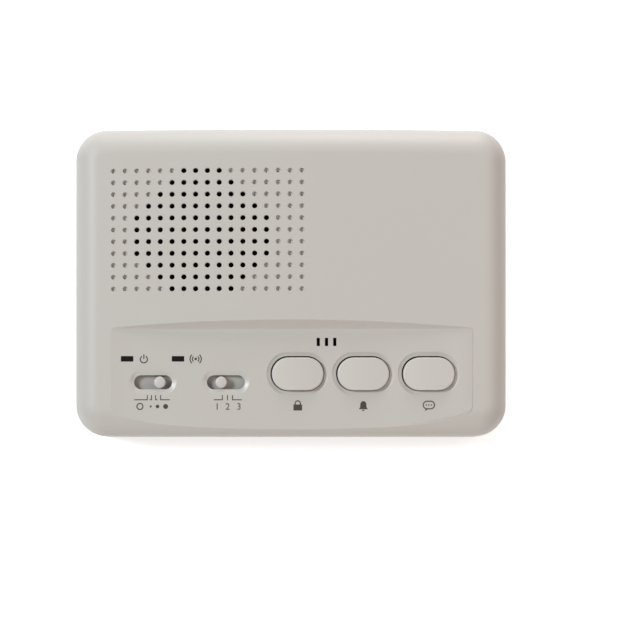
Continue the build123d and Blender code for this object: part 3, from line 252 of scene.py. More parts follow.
CASE_GREY = (0.545, 0.512, 0.482)
SLIDE_U = {"volume": -52.75, "channel": -24.9}
SLIDE_V = -38.4
SLOT_LENGTH = 14.5
SLOT_BREADTH = 5.4
SHINE_REACH = 2.2
SHINE_ROUGHNESS = 0.36
case_plastic, graph, place, shader = start_finish(
    "case_plastic", CASE_GREY, roughness=0.46, grain=0.35, drift=0.025, bump=0.10, specular=0.3
)
across, up_face, _ = places_on_face(graph, place)
reaches = []
for slide_u in SLIDE_U.values():
    past_end = (abs(across - slide_u * MM) - (SLOT_LENGTH - SLOT_BREADTH) / 2 * MM).larger(0.0)
    off_line = up_face - SLIDE_V * MM
    reaches.append((past_end * past_end + off_line * off_line).root())
outside = reaches[0].smaller(reaches[1]) - SLOT_BREADTH / 2 * MM
coat = (2 - 2 * outside / (SHINE_REACH * MM)).share()
graph.feed(shader, {"Coat Weight": coat, "Coat Roughness": SHINE_ROUGHNESS})
print("case plastic shines up to", SHINE_REACH, "mm from", len(reaches), "slots")

# %% [markdown]
# The knobs slide over a plate that lies deep in its slot. The finish measures how far out of the face a
# point lies, and paints shade over what is below the panel, darker the deeper it lies, for the slot's shade.


# %% Plastic with painted shade that deepens with depth
def repaint(graph, shader, share, colour):
    """Paint another colour over a finish, by a share that varies over the surface."""
    tone = Signal(graph, shader.inputs["Base Color"].links[0].from_socket)
    graph.feed(shader, {"Base Color": graph.mix(share, tone, (*colour, 1))})


SLOT_SHADE_GREY = (0.445, 0.423, 0.402)
SHADE_START_N = -4.4
SHADE_FULL_N = -6.0
knob_plastic, graph, place, shader = start_finish(
    "knob_plastic", KEY_GREY, roughness=0.4, grain=0.25, drift=0.02, bump=0.05
)
*_, out_of_face = places_on_face(graph, place)
# Painted shade: the plate deep in the slot is darkened by depth, where the slot's shade falls.
slot_shade = (SHADE_START_N * MM - out_of_face) / ((SHADE_START_N - SHADE_FULL_N) * MM)
repaint(graph, shader, slot_shade.share(), SLOT_SHADE_GREY)
print("knobs grey from", SHADE_START_N, "to", SHADE_FULL_N, "mm")

# %% [markdown]
# Cloth and cut steel have a direction, which noise alone can't give. The black cloth behind the grille is
# a plain weave, so two crossed sets of bands lift it. Transformer steel is a stack of sheets, so one set of
# bands darkens it edge by edge. A wave texture of scale 1 repeats every 0.314 m, which sets their pitch.

# %% Woven and layered finishes
WAVE_PERIOD = 0.314
BAND_SHADE = 0.6


def banded_finish(name, colour, roughness, pitch, directions, **options):
    """A finish crossed by fine bands: one direction for stacked sheets, two for a weave."""
    material, graph, place, shader = start_finish(name, colour, roughness, pitch, **options)
    wave = {"Vector": place, "Scale": WAVE_PERIOD / (pitch * MM), "Distortion": 0.4}
    bands = [graph.add("ShaderNodeTexWave", wave, "Fac", bands_direction=way) for way in directions]
    height = bands[0] if len(bands) == 1 else bands[0].larger(bands[1])
    relief = {"Strength": 0.6, "Distance": 0.2 * pitch * MM, "Height": height}
    shade = [BAND_SHADE * part for part in colour]
    graph.feed(shader, {
        "Base Color": graph.mix(height, (*shade, 1), (*colour, 1)),
        "Normal": graph.add("ShaderNodeBump", relief),
    })
    return material


black_felt = banded_finish("black_felt", (0.012, 0.012, 0.012), 0.95, 0.5, "XY")
surround_cloth = banded_finish("surround_cloth", (0.03, 0.03, 0.03), 0.8, 0.4, "XY")
core_steel = banded_finish("core_steel", (0.13, 0.13, 0.14), 0.5, 0.5, "Y")
winding_tape = banded_finish("winding_tape", (0.55, 0.40, 0.08), 0.3, 4.0, "Z", coat=0.3)
print("banded:", black_felt.name, surround_cloth.name, core_steel.name, winding_tape.name)

# %% [markdown]
# The microphone is a small aluminium can with a disc of black felt over its mouth, which is what shows
# through the three slots. One finish makes both: the front third of a millimetre is felt, measured out of
# the face, and the rest is metal.

# %% Aluminium can with a felt face
FELT_BACK_N = -6.8
FELT_BLACK = (0.006, 0.006, 0.006)
FELT_ROUGHNESS = 0.95
CAN_ROUGHNESS = 0.28
capsule_aluminium, graph, place, shader = start_finish(
    "capsule_aluminium", (0.7, 0.7, 0.7), roughness=CAN_ROUGHNESS, grain=0.2
)
*_, out_of_face = places_on_face(graph, place)
metal = out_of_face < FELT_BACK_N * MM
repaint(graph, shader, 1 - metal, FELT_BLACK)
dullness = FELT_ROUGHNESS - (FELT_ROUGHNESS - CAN_ROUGHNESS) * metal
graph.feed(shader, {"Metallic": metal, "Roughness": dullness})
print("felt from", FELT_BACK_N, "mm outwards")

# %% [markdown]
# Everything else inside the case is seen only through the vents, or when someone takes the case apart. It
# still gets its own colour, gloss and grain, so that it looks right when that happens.

# %% The other finishes, by slot
recipes = {
    "black_rubber": dict(colour=(0.028, 0.027, 0.026), roughness=0.75, grain=0.4, drift=0.2, bump=0.2),
    "zinc_steel": dict(colour=(0.62, 0.62, 0.60), roughness=0.32, grain=0.2, drift=0.08, metal=1.0),
    "lamp_lens": dict(colour=(0.006, 0.004, 0.003), roughness=0.3, grain=0.6, drift=0.3, bump=0.03, coat=0.1),
    "switch_plastic": dict(colour=(0.04, 0.04, 0.045), roughness=0.5, grain=0.3, drift=0.1),
    "leaf_bronze": dict(colour=(0.66, 0.45, 0.22), roughness=0.3, grain=0.3, drift=0.1, metal=1.0),
    "black_card": dict(colour=(0.05, 0.045, 0.04), roughness=0.9, grain=0.5, drift=0.2, bump=0.3),
    "pressed_steel": dict(colour=(0.2, 0.2, 0.21), roughness=0.42, grain=0.3, drift=0.1, metal=0.6),
    "cone_paper": dict(colour=(0.06, 0.055, 0.05), roughness=0.92, grain=0.8, drift=0.25, bump=0.4),
    "ferrite": dict(colour=(0.05, 0.05, 0.055), roughness=0.7, grain=0.5, drift=0.15, bump=0.25),
    "phenolic_board": dict(colour=(0.30, 0.17, 0.07), roughness=0.5, grain=1.0, drift=0.15),
    "capacitor_sleeve": dict(colour=(0.03, 0.04, 0.09), roughness=0.3, grain=0.5, coat=0.4),
    "fuse_glass": dict(colour=(0.72, 0.76, 0.74), roughness=0.08, grain=0.8, bump=0.02, coat=0.5),
    "lead_insulation": dict(colour=(0.45, 0.04, 0.03), roughness=0.4, grain=0.6, drift=0.08),
}
finishes = {name: plain_finish(name, **recipe) for name, recipe in recipes.items()}
finishes |= {
    "case_plastic": case_plastic,
    "key_plastic": key_plastic,
    "black_felt": black_felt,
    "surround_cloth": surround_cloth,
    "core_steel": core_steel,
    "winding_tape": winding_tape,
    "capsule_aluminium": capsule_aluminium,
}
for subpart in frame["record"]["subparts"]:
    for material_slot in frame["nodes"][subpart["node"]].material_slots:
        material_slot.material = finishes[subpart["material_slot"]]

# %% [markdown]
# ## Skins
# A moulding is thin skin over flat outlines: the lid's roof, a key's top, the base's floor. Each could be
# modelled by hand with loops and knife cuts, but the sizes are known, so it is quicker and truer to
# triangulate the flat outline, with every rim and crease as a fixed edge, and then lift the points to
# their heights. Heights given by a formula also give exact shading: the slope at each point says which
# way the surface faces there, however the triangles happen to lie.


# %% A piece made of skins
class Moulding:
    """Gathers faces, with the way that each of their corners shines, into one welded piece."""

    def __init__(self):
        self.points = []
        self.faces = []
        self.shine = []
        self.count = 0

    def add(self, points, faces, normals):
        """Add faces over points, with one direction for each corner of each face."""
        self.points.append(np.asarray(points, float))
        self.faces.extend(tuple(corner + self.count for corner in face) for face in faces)
        self.shine.append(np.asarray(normals, float))
        self.count += len(points)

    def add_on_face(self, points, faces, normals):
        """Add faces that are described on the leaning face."""
        self.add(place_from_face(points), faces, turn_from_face(normals))

    def mesh(self, name):
        """Weld points that coincide, drop corners that vanish, and build the mesh."""
        points = np.concatenate(self.points)
        _, first, weld = np.unique(points.round(4), axis=0, return_index=True, return_inverse=True)
        weld = weld.ravel().tolist()
        directions = np.concatenate(self.shine)
        directions = (directions / np.linalg.norm(directions, axis=1, keepdims=True)).tolist()
        faces, shine, corner = [], [], 0
        for face in self.faces:
            welded = [weld[point] for point in face]
            kept = [place for place, point in enumerate(welded) if point != welded[place - 1]]
            faces.append([welded[place] for place in kept])
            shine += [directions[corner + place] for place in kept]
            corner += len(face)
        mesh = bpy.data.meshes.new(name)
        mesh.from_pydata(points[first] * MM, [], faces)
        mesh.normals_split_custom_set(shine)
        return mesh


def new_object(name, data):
    """An object in the scene that holds a mesh, a lamp or other data."""
    holder = bpy.data.objects.new(name, data)
    bpy.context.scene.collection.objects.link(holder)
    return holder


def take_mesh(holder):
    """The plain mesh that an object makes; the object itself goes."""
    made = holder.evaluated_get(bpy.context.evaluated_depsgraph_get())
    mesh = bpy.data.meshes.new_from_object(made)
    bpy.data.objects.remove(holder)
    return mesh


def add_piece(name, mesh, body, nodes):
    """Put a mesh in the scene as a piece of a body that stands for some nodes."""
    piece = new_object(name, mesh)
    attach(piece, body)
    if nodes:
        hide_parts(*nodes)
    print(name, "has", len(mesh.polygons), "faces")


def add_moulding(name, moulding, finish, body, nodes):
    """Put a moulding in the scene, in its finish."""
    mesh = moulding.mesh(name)
    mesh.materials.append(finish)
    add_piece(name, mesh, body, nodes)


# %% Triangles over a flat outline
def within(points, loop):
    """Which flat points lie inside a closed loop: an odd number of its edges is to their right."""
    x, y = points.T
    odd = np.zeros(len(points), bool)
    for (ax, ay), (bx, by) in zip(loop, np.roll(loop, -1, axis=0)):
        crossed = (ay > y) != (by > y)
        if crossed.any():
            odd ^= crossed & (x < ax + (y - ay) * (bx - ax) / (by - ay))
    return odd


def lay_sheet(outline, holes=(), rings=(), lines=(), spots=()):
    """Flat points and triangles that fill an outline less its holes, with edges along rings and lines."""
    points, edges = [], []
    runs = [(run, True) for run in (outline, *holes, *rings)] + [(run, False) for run in lines]
    for run, closed in runs:
        start = len(points)
        points.extend(tuple(point) for point in run)
        edges.extend((start + step, start + step + 1) for step in range(len(run) - 1))
        if closed:
            edges.append((len(points) - 1, start))
    points.extend(tuple(spot) for spot in spots)
    corners = [Vector(point) for point in points]
    found, _, faces, origins, _, _ = delaunay_2d_cdt(corners, edges, [], 0, 1e-5)
    flat = np.array([points[old[0]] if old else tuple(new) for new, old in zip(found, origins)])
    faces = np.array(faces)
    middles = flat[faces].mean(axis=1)
    kept = within(middles, np.asarray(outline))
    for hole in holes:
        kept &= ~within(middles, np.asarray(hole))
    used, faces = np.unique(faces[kept], return_inverse=True)
    return flat[used], faces.reshape(-1, 3)


# %% Loops
def circle(x, y, radius, count):
    """Points round a circle, anticlockwise."""
    angle = np.arange(count) * 2 * pi / count
    return np.column_stack([x + radius * np.cos(angle), y + radius * np.sin(angle)])


def pill(x, y, length, breadth, count=20):
    """Points round a slot with round ends, anticlockwise."""
    angle = np.linspace(-pi / 2, pi / 2, count + 1)
    end = np.column_stack([np.cos(angle), np.sin(angle)]) * breadth / 2
    run = np.linspace(0, 1, 7)[1:-1, None] * (breadth - length) * np.array([[1, 0]])
    side = end[-1] + (length - breadth) / 2 * np.array([1, 0]) + run
    half = np.concatenate([end + ((length - breadth) / 2, 0), side])
    return np.concatenate([half, -half]) + (x, y)


def slab(x, y, length, breadth):
    """Corners of a rectangle, anticlockwise."""
    return np.array([(-1, -1), (1, -1), (1, 1), (-1, 1)]) * (length / 2, breadth / 2) + (x, y)


def outward(loop):
    """The way out of a flat loop at each of its points."""
    along = np.roll(loop, -1, axis=0) - np.roll(loop, 1, axis=0)
    side = np.column_stack([along[:, 1], -along[:, 0]])
    return side / np.linalg.norm(side, axis=1, keepdims=True)


def raised(flat, heights):
    """Flat points with their heights, which may be one height for all."""
    return np.column_stack([flat, np.broadcast_to(heights, len(flat))])


print("a pill of", len(pill(0, 0, 2, 1)), "points")


# %% Bands between two rings, sides and level sheets
def band(first, second, first_normals, second_normals, closed=True):
    """Faces between two rings of points, with directions for the corners on each ring."""
    count = len(first)
    steps = range(count if closed else count - 1)
    faces = [(i, i + count, (i + 1) % count + count, (i + 1) % count) for i in steps]
    normals = np.concatenate([first_normals, second_normals])
    return np.concatenate([first, second]), faces, normals[[corner for face in faces for corner in face]]


def sides(loop, start, end):
    """The sides of a loop between two heights: facing out of it if they go down, or else into it."""
    ways = raised(outward(loop) if end < start else -outward(loop), 0)
    return band(raised(loop, start), raised(loop, end), ways, ways)


def sharp_sides(loop, start, end):
    """The same for a loop with sharp corners, one flat side at a time."""
    for first, second in zip(loop, np.roll(loop, -1, axis=0)):
        run = second - first if end < start else first - second
        ways = np.tile((run[1], -run[0], 0), (2, 1))
        side = np.array([first, second])
        yield band(raised(side, start), raised(side, end), ways, ways, closed=False)


def level_sheet(outline, height, way, holes=()):
    """A flat sheet at one height that faces up, for a way of 1, or down, for -1."""
    flat, triangles = lay_sheet(outline, holes)
    return raised(flat, height), triangles[:, ::way], np.tile((0.0, 0.0, way), (triangles.size, 1))


print("a level square of", len(level_sheet(slab(0, 0, 1, 1), 0, 1)[1]), "triangles")

# %% [markdown]
# ## The lid's form
# The roof is part of a very large cylinder, and its edge rolls over into the walls as if a ball had been
# run round inside it. The ball's middle follows a rounded rectangle, so the roll is exactly a circle swept
# along that path. A flat panel is then cut into the front of the roof: where the roof's arch meets the
# cut's sloping rear edge, the two make the shallow crescent that runs across the face.
# The panel has finer points too. Its floor curls up at the left, until it meets the face with no step. At
# the right a hairline groove runs along the foot of its edge, and fades out towards the middle and the
# back. Its front corners are rounded.

# %% Heights over the face
PANEL_N = -3.35
PANEL_U = 0.55
PANEL_HALF_WIDTH = 69.0
PANEL_BACK_V = -17.95
PANEL_CORNER_R = 2.2
FRONT_RISE = 1.5
EDGE_STEEPNESS = 3.0
GROOVE_DEPTH = 0.18
GROOVE_WIDTH = 0.18
GROOVE_START = 40.0
GROOVE_FADE = 25.0
GROOVE_BACK_FADE = 2.0
LEFT_LIFT = 0.33
LIFT_RUN = 7.0
EDGE_SOFTNESS = 0.16
FLOOR_SOFTNESS = 0.22
PATH_R = CORNER_R - ROLL_R
PATH_RUN = 1.2
path_angle = np.linspace(0, pi / 2, 257)
corner_path_u = np.concatenate([np.linspace(-PATH_RUN, 0, 121)[:-1], PATH_R * np.cos(path_angle)])
corner_path_v = np.concatenate([np.full(120, PATH_R), PATH_R * np.sin(path_angle)])
corner_path_u = corner_path_u + SPINE_U - PATH_R
corner_path_v = corner_path_v + SPINE_V - PATH_R


def arch(u, radius=CROWN_R):
    """Height of an arch that shares the roof's centre line."""
    return np.sqrt(radius**2 - u**2) - CROWN_R


def rolled_roof(u, v, depth):
    """Height of the arched roof and its rolled edge, at a depth below the outside."""
    u, v = np.abs(u), np.abs(v)
    roll = ROLL_R - depth
    lean = roll * SPINE_U / (CROWN_R - ROLL_R)
    past_v = np.clip(v - SPINE_V, 0, roll)
    height = arch(u, CROWN_R - ROLL_R + np.sqrt(roll**2 - past_v**2))
    past_u = np.clip(u - SPINE_U, 0, roll)
    side = arch(SPINE_U, CROWN_R - ROLL_R) + np.sqrt(roll**2 - past_u**2)
    height = np.where((v <= SPINE_V - PATH_R) & (u > SPINE_U + lean), side, height)
    on_roof = np.hypot(np.clip(u - SPINE_U + PATH_R - lean, 0, None), v - SPINE_V + PATH_R) <= PATH_R
    corner = (v > SPINE_V - PATH_R) & (u > SPINE_U - PATH_R) & ~on_roof
    gap = roll**2 - (u[corner, None] - corner_path_u) ** 2 - (v[corner, None] - corner_path_v) ** 2
    balls = arch(corner_path_u, CROWN_R - ROLL_R) + np.sqrt(np.clip(gap, 0, None))
    height[corner] = np.where(gap < 0, arch(corner_path_u, CROWN_R - ROLL_R), balls).max(axis=1)
    return height


def soft_larger(first, second, softness):
    """The larger of two heights, rounded off where they cross."""
    near = np.clip(softness - np.abs(first - second), 0, None)
    return np.maximum(first, second) + near**2 / (4 * softness)


def front_crease(u):
    """How far down the face the panel reaches: to the rolled front edge, and less far near the corners."""
    past = np.sqrt((CROWN_R + PANEL_N) ** 2 + u**2) - CROWN_R + ROLL_R
    rise = FRONT_RISE * (np.abs(u - PANEL_U) / PANEL_HALF_WIDTH) ** 4
    return rise - SPINE_V - np.sqrt(np.clip(ROLL_R**2 - past**2, 0, None))


def panel_cut(u, v):
    """Height of the cut: a flat floor that lifts at its left, a sloping back and a groove at its right."""
    across = np.abs(u - PANEL_U)
    past_side = np.clip(across - PANEL_HALF_WIDTH + PANEL_CORNER_R, 0, None)
    past_front = np.clip(front_crease(u) - v + PANEL_CORNER_R, 0, None)
    edge = np.hypot(past_side, past_front) - PANEL_CORNER_R
    slope = np.maximum(v - PANEL_BACK_V, EDGE_STEEPNESS * edge)
    fade = np.clip((u - PANEL_U - GROOVE_START) / GROOVE_FADE, 0, 1)
    fade = fade * np.clip((PANEL_BACK_V - v) / GROOVE_BACK_FADE, 0, 1)
    groove = GROOVE_DEPTH * fade * np.exp(-((edge / GROOVE_WIDTH) ** 2))
    lift = LEFT_LIFT * np.clip((PANEL_U - u - PANEL_HALF_WIDTH) / LIFT_RUN + 1, 0, 1) ** 2
    return PANEL_N - groove + lift + soft_larger(0 * slope, slope, FLOOR_SOFTNESS)


def roof_height(u, v, depth=0.0):
    """Height of the roof with the panel cut into it, at a depth below the outside."""
    return -soft_larger(-rolled_roof(u, v, depth), depth - panel_cut(u, v), EDGE_SOFTNESS)


samples = np.array([(0, 0), (0, -40), (80, 0)], float)
print("roof at the middle, the panel and the edge:", roof_height(*samples.T))

# %% [markdown]
# ## Openings in the panel
# Each key stands in a slot with a shallow dished rim, and each slide switch in a slot with a wider funnel
# that lets a fingertip reach the knob. Both are deepest at their round ends. Lamps and microphone have
# plain rectangular slots.

# %% Openings and their rims
BUTTON_U = {"lock": 2.475, "call": 27.525, "talk": 52.575}
BUTTON_V = -35.1
BUTTON_LENGTH = 19.6
BUTTON_BREADTH = 12.4
BUTTON_GAP = 0.52
LAMP_SPOTS = [(-62.6, -29.45), (-43.15, -29.45)]
LAMP_SLOT = (4.76, 2.11)
MIC_SPOTS = [(u, -22.98) for u in (10.45, 13.6, 16.75)]
MIC_SLOT = (1.25, 3.15)
RIM_SOFTNESS = 0.16
RIM_SHARES = (0.3, 0.55, 0.75, 0.88, 1.0, 1.1, 1.25)

Slot = namedtuple("Slot", "length breadth rim depth power side_share")
key_slot = Slot(
    length=BUTTON_LENGTH + 2 * BUTTON_GAP,
    breadth=BUTTON_BREADTH + 2 * BUTTON_GAP,
    rim=1.5,
    depth=0.7,
    power=2.2,
    side_share=0.6,
)
slide_slot = Slot(length=SLOT_LENGTH, breadth=SLOT_BREADTH, rim=1.7, depth=0.78, power=1.0, side_share=0.45)
slots = [((u, BUTTON_V), key_slot) for u in BUTTON_U.values()]
slots += [((u, SLIDE_V), slide_slot) for u in SLIDE_U.values()]


def slot_distance(u, v, spot, size):
    """How far points lie outside a slot with round ends."""
    past = np.clip(np.abs(u - spot[0]) - (size[0] - size[1]) / 2, 0, None)
    return np.hypot(past, v - spot[1]) - size[1] / 2


def panel_height(u, v):
    """Height of the roof with the rims dished into it, most of all at their round ends."""
    height = roof_height(u, v)
    for spot, slot in slots:
        end = np.clip((2 * np.abs(u - spot[0]) - slot.length) / slot.breadth + 1, 0, 1)
        share = slot.side_share + (1 - slot.side_share) * end**2 * (3 - 2 * end)
        outside = np.clip(slot_distance(u, v, spot, slot) / slot.rim, 0, None)
        depth = slot.depth * share * (1 - outside**slot.power)
        height = height - soft_larger(0 * depth, depth, RIM_SOFTNESS)
    return height


def shine_over(height, u, v, step=0.01):
    """Which way a surface of given height faces, from its slope."""
    across = (height(u + step, v) - height(u - step, v)) / (2 * step)
    along = (height(u, v + step) - height(u, v - step)) / (2 * step)
    return np.column_stack([-across, -along, np.ones(len(u))])


openings = [pill(*spot, slot.length, slot.breadth) for spot, slot in slots]
openings += [slab(*spot, *LAMP_SLOT) for spot in LAMP_SPOTS]
openings += [slab(*spot, *MIC_SLOT) for spot in MIC_SPOTS]
rims = [
    pill(*spot, slot.length + 2 * slot.rim * share, slot.breadth + 2 * slot.rim * share)
    for spot, slot in slots
    for share in RIM_SHARES
]
print(len(openings), "openings with", len(rims), "rim lines")

# %% [markdown]
# ## The grille
# A square grid of holes covers the loudspeaker: open ones inside a square with cut corners, blind ones
# round them. Boolean cuts would leave ragged triangles round every hole. Instead, Geometry Nodes lay one of
# two small tiles at each point of the grid, by the same rule, and bend the whole grid to the arch.

# %% Two tiles of the grille
PITCH = 4.5
COLUMNS = 17
ROWS = 11
HOLE_R = 1.0
DIMPLE_R = 0.92
TILE_STEPS = 4
SPEAKER_SPOT = (-34.05, 17.45)
SPEAKER_COLUMN = 7.5
SPEAKER_ROW = 4.5
GRID_LOW = (SPEAKER_SPOT[0] - SPEAKER_COLUMN * PITCH, SPEAKER_SPOT[1] - SPEAKER_ROW * PITCH)
GRID_HIGH = (GRID_LOW[0] + (COLUMNS - 1) * PITCH, GRID_LOW[1] + (ROWS - 1) * PITCH)


def square_ring(half, steps):
    """Points round a square from the middle of its right side, anticlockwise."""
    side = np.linspace(-half, half, steps + 1)[:-1]
    edge = np.full(steps, half)
    ring = np.concatenate([
        np.column_stack([edge, side]),
        np.column_stack([-side, edge]),
        np.column_stack([-edge, -side]),
        np.column_stack([side, -edge]),
    ])
    return np.roll(ring, -(steps // 2), axis=0)


def make_tile(name, profile, open_below):
    """A square tile whose middle follows a profile of radius, height and slope."""
    border = square_ring(PITCH / 2, TILE_STEPS)
    count = len(border)
    rings = [raised(border, 0)]
    facing = [np.tile((0, 0, 1.0), (count, 1))]
    for radius, height, slope in profile:
        ring = circle(0, 0, radius, count)
        rings.append(raised(ring, height))
        facing.append(raised(-sin(slope) * ring / radius, cos(slope)))
    rings.append(raised(border, -SKIN))
    facing.append(np.tile((0, 0, -1.0), (count, 1)))
    faces = []
    for step in range(len(rings) - 1 if open_below else len(rings) - 2):
        first = step * count
        faces += [(first + i, first + (i + 1) % count, first + (i + 1) % count + count, first + i + count)
                  for i in range(count)]
    if not open_below:
        last = (len(rings) - 2) * count
        faces.append(tuple(range(last, last + count)))
        faces.append(tuple(range(last + 2 * count - 1, last + count - 1, -1)))
    mesh = bpy.data.meshes.new(name)
    mesh.from_pydata(np.concatenate(rings), [], faces)
    attribute = mesh.attributes.new("facing", "FLOAT_VECTOR", "POINT")
    attribute.data.foreach_set("vector", np.concatenate(facing).ravel())
    return new_object(name, mesh)


open_profile = [
    (HOLE_R + 0.16, 0.0, 0.0),
    (HOLE_R + 0.06, -0.03, radians(35)),
    (HOLE_R, -0.12, radians(75)),
    (HOLE_R, -0.4, radians(90)),
    (HOLE_R, -SKIN, radians(90)),
]
blind_profile = [
    (DIMPLE_R + 0.14, 0.0, 0.0),
    (DIMPLE_R + 0.04, -0.03, radians(40)),
    (DIMPLE_R, -0.12, radians(80)),
    (DIMPLE_R - 0.06, -0.85, radians(82)),
    (DIMPLE_R - 0.2, -1.12, radians(45)),
    (DIMPLE_R - 0.5, -1.25, radians(10)),
]
open_tile = make_tile("open_tile", open_profile, True)
blind_tile = make_tile("blind_tile", blind_profile, False)
print("tiles of", len(open_tile.data.polygons), "and", len(blind_tile.data.polygons), "faces")


# %% A tree with named inputs
def new_tree(name, inputs):
    """A geometry tree with named inputs; returns its graph and the inputs as values."""
    tree = bpy.data.node_groups.new(name, "GeometryNodeTree")
    tree.interface.new_socket("Geometry", in_out="OUTPUT", socket_type="NodeSocketGeometry")
    tree.interface.new_socket("Geometry", in_out="INPUT", socket_type="NodeSocketGeometry")
    for label, kind in inputs.items():
        tree.interface.new_socket(label, in_out="INPUT", socket_type=f"NodeSocket{kind}")
    graph = Graph(tree)
    source = graph.add("NodeGroupInput")
    return graph, {label: source.other(label) for label in ("Geometry", *inputs)}


def finish_tree(graph, geometry, finish):
    """Make the instances real, give them their finish and end the tree."""
    real = graph.add("GeometryNodeRealizeInstances", {"Geometry": geometry})
    painted = graph.add("GeometryNodeSetMaterial", {"Geometry": real, "Material": finish})
    graph.add("NodeGroupOutput", {"Geometry": painted})


def grow(name, tree, values, points=()):
    """Run a tree over some points with values for its inputs, and return the plain mesh that it makes."""
    seed = bpy.data.meshes.new(name)
    seed.from_pydata([tuple(point) for point in points], [], [])
    carrier = new_object(name, seed)
    modifier = carrier.modifiers.new(name, "NODES")
    modifier.node_group = tree
    sockets = {item.name: item.identifier for item in tree.interface.items_tree if item.in_out == "INPUT"}
    for label, value in values.items():
        modifier[sockets[label]] = value
    return take_mesh(carrier)


# %% The tree that lays the tiles
grid_middle = [(low + high) / 2 for low, high in zip(GRID_LOW, GRID_HIGH)]
grid_inputs = {
    "Open tile": ("Object", open_tile),
    "Blind tile": ("Object", blind_tile),
    "Pitch": ("Float", PITCH),
    "Columns": ("Int", COLUMNS),
    "Rows": ("Int", ROWS),
    "Middle": ("Vector", (*grid_middle, 0.0)),
    "Speaker": ("Vector", (*SPEAKER_SPOT, 0.0)),
    "Half side": ("Float", 5.6),
    "Half diagonal": ("Float", 7.1),
    "Arch radius": ("Float", CROWN_R),
    "Finish": ("Material", case_plastic),
}
graph, given = new_tree("grille_tiles", {label: kind for label, (kind, _) in grid_inputs.items()})
grid_sockets = {
    "Size X": given["Pitch"] * (given["Columns"] - 1),
    "Size Y": given["Pitch"] * (given["Rows"] - 1),
    "Vertices X": given["Columns"],
    "Vertices Y": given["Rows"],
}
grid = graph.add("GeometryNodeMeshGrid", grid_sockets)
spread = graph.add("GeometryNodeSetPosition", {"Geometry": grid, "Offset": given["Middle"]})
grid_spot = graph.add("ShaderNodeSeparateXYZ", {0: graph.add("GeometryNodeInputPosition")})
speaker = graph.add("ShaderNodeSeparateXYZ", {0: given["Speaker"]})
columns_off = abs(grid_spot - speaker) / given["Pitch"]
rows_off = abs(grid_spot.other("Y") - speaker.other("Y")) / given["Pitch"]
in_square = columns_off.larger(rows_off) < given["Half side"]
is_open = in_square * (columns_off + rows_off < given["Half diagonal"])
joined = graph.add("GeometryNodeJoinGeometry")
for label, chosen in (("Blind tile", 1 - is_open), ("Open tile", is_open)):
    tile = graph.add("GeometryNodeObjectInfo", {"Object": given[label]}, "Geometry")
    chosen_points = {"Points": spread, "Selection": chosen, "Instance": tile}
    graph.feed(joined.socket.node, {0: graph.add("GeometryNodeInstanceOnPoints", chosen_points)})
laid = graph.add("GeometryNodeRealizeInstances", {"Geometry": joined})
tile_spot = graph.add("ShaderNodeSeparateXYZ", {0: graph.add("GeometryNodeInputPosition")})
bend = (given["Arch radius"] * given["Arch radius"] - tile_spot * tile_spot).root() - given["Arch radius"]
bend_offset = graph.add("ShaderNodeCombineXYZ", {"Z": bend})
bent = graph.add("GeometryNodeSetPosition", {"Geometry": laid, "Offset": bend_offset})
finish_tree(graph, bent, given["Finish"])
grille_mesh = grow("grille", graph.tree, {label: value for label, (_, value) in grid_inputs.items()})
print("grille of", len(grille_mesh.polygons), "faces")

# %% [markdown]
# ## The lid
# The roof's flat outline is triangulated with a window left for the grille, lifted by the height formula
# and given a second skin below. A chain of rings then closes the walls: down the outside, under the edge
# that sits on the base, and up inside. A hairline groove at the joint keeps lid and base apart to the eye.

# %% Rings round the case
CORNER_POINTS = 17
STRAIGHT_POINTS = 31


def case_ring(half_width, half_depth, inset=0.0):
    """Points and outward directions round the case's outline, drawn in by an inset."""
    quarter = np.linspace(0, pi / 2, CORNER_POINTS)
    straight = np.linspace(0, 1, STRAIGHT_POINTS + 2)[1:-1, None]
    centres = np.array([(1, 1), (-1, 1), (-1, -1), (1, -1)]) * (half_width - CORNER_R, half_depth - CORNER_R)
    points, ways = [], []
    for turn, (centre, following) in enumerate(zip(centres, np.roll(centres, -1, axis=0))):
        angle = quarter + turn * pi / 2
        way = np.column_stack([np.cos(angle), np.sin(angle)])
        points.append(centre + (CORNER_R - inset) * way)
        points.append(centre + straight * (following - centre) + (CORNER_R - inset) * way[-1])
        ways += [way, np.tile(way[-1], (STRAIGHT_POINTS, 1))]
    return np.concatenate(points), np.concatenate(ways)


edge_ring, edge_ways = case_ring(CASE_WIDTH / 2, CASE_DEPTH / 2)
path_ring = edge_ring - ROLL_R * edge_ways
path_heights = arch(path_ring[:, 0], CROWN_R - ROLL_R)
roof_lean = path_ring[:, :1] / (CROWN_R - ROLL_R)
roof_ways = np.column_stack([roof_lean, 0 * roof_lean, np.sqrt(1 - roof_lean**2)])
wall_ways = raised(edge_ways, 0)
opening_angle = np.arccos(np.clip((roof_ways * wall_ways).sum(axis=1, keepdims=True), -1, 1))


def roll_ways(share):
    """The way out of the rolled edge, a share of the turn from the wall to the roof."""
    start = np.sin((1 - share) * opening_angle) * wall_ways
    return (start + np.sin(share * opening_angle) * roof_ways) / np.sin(opening_angle)


print("case ring of", len(edge_ring), "points")

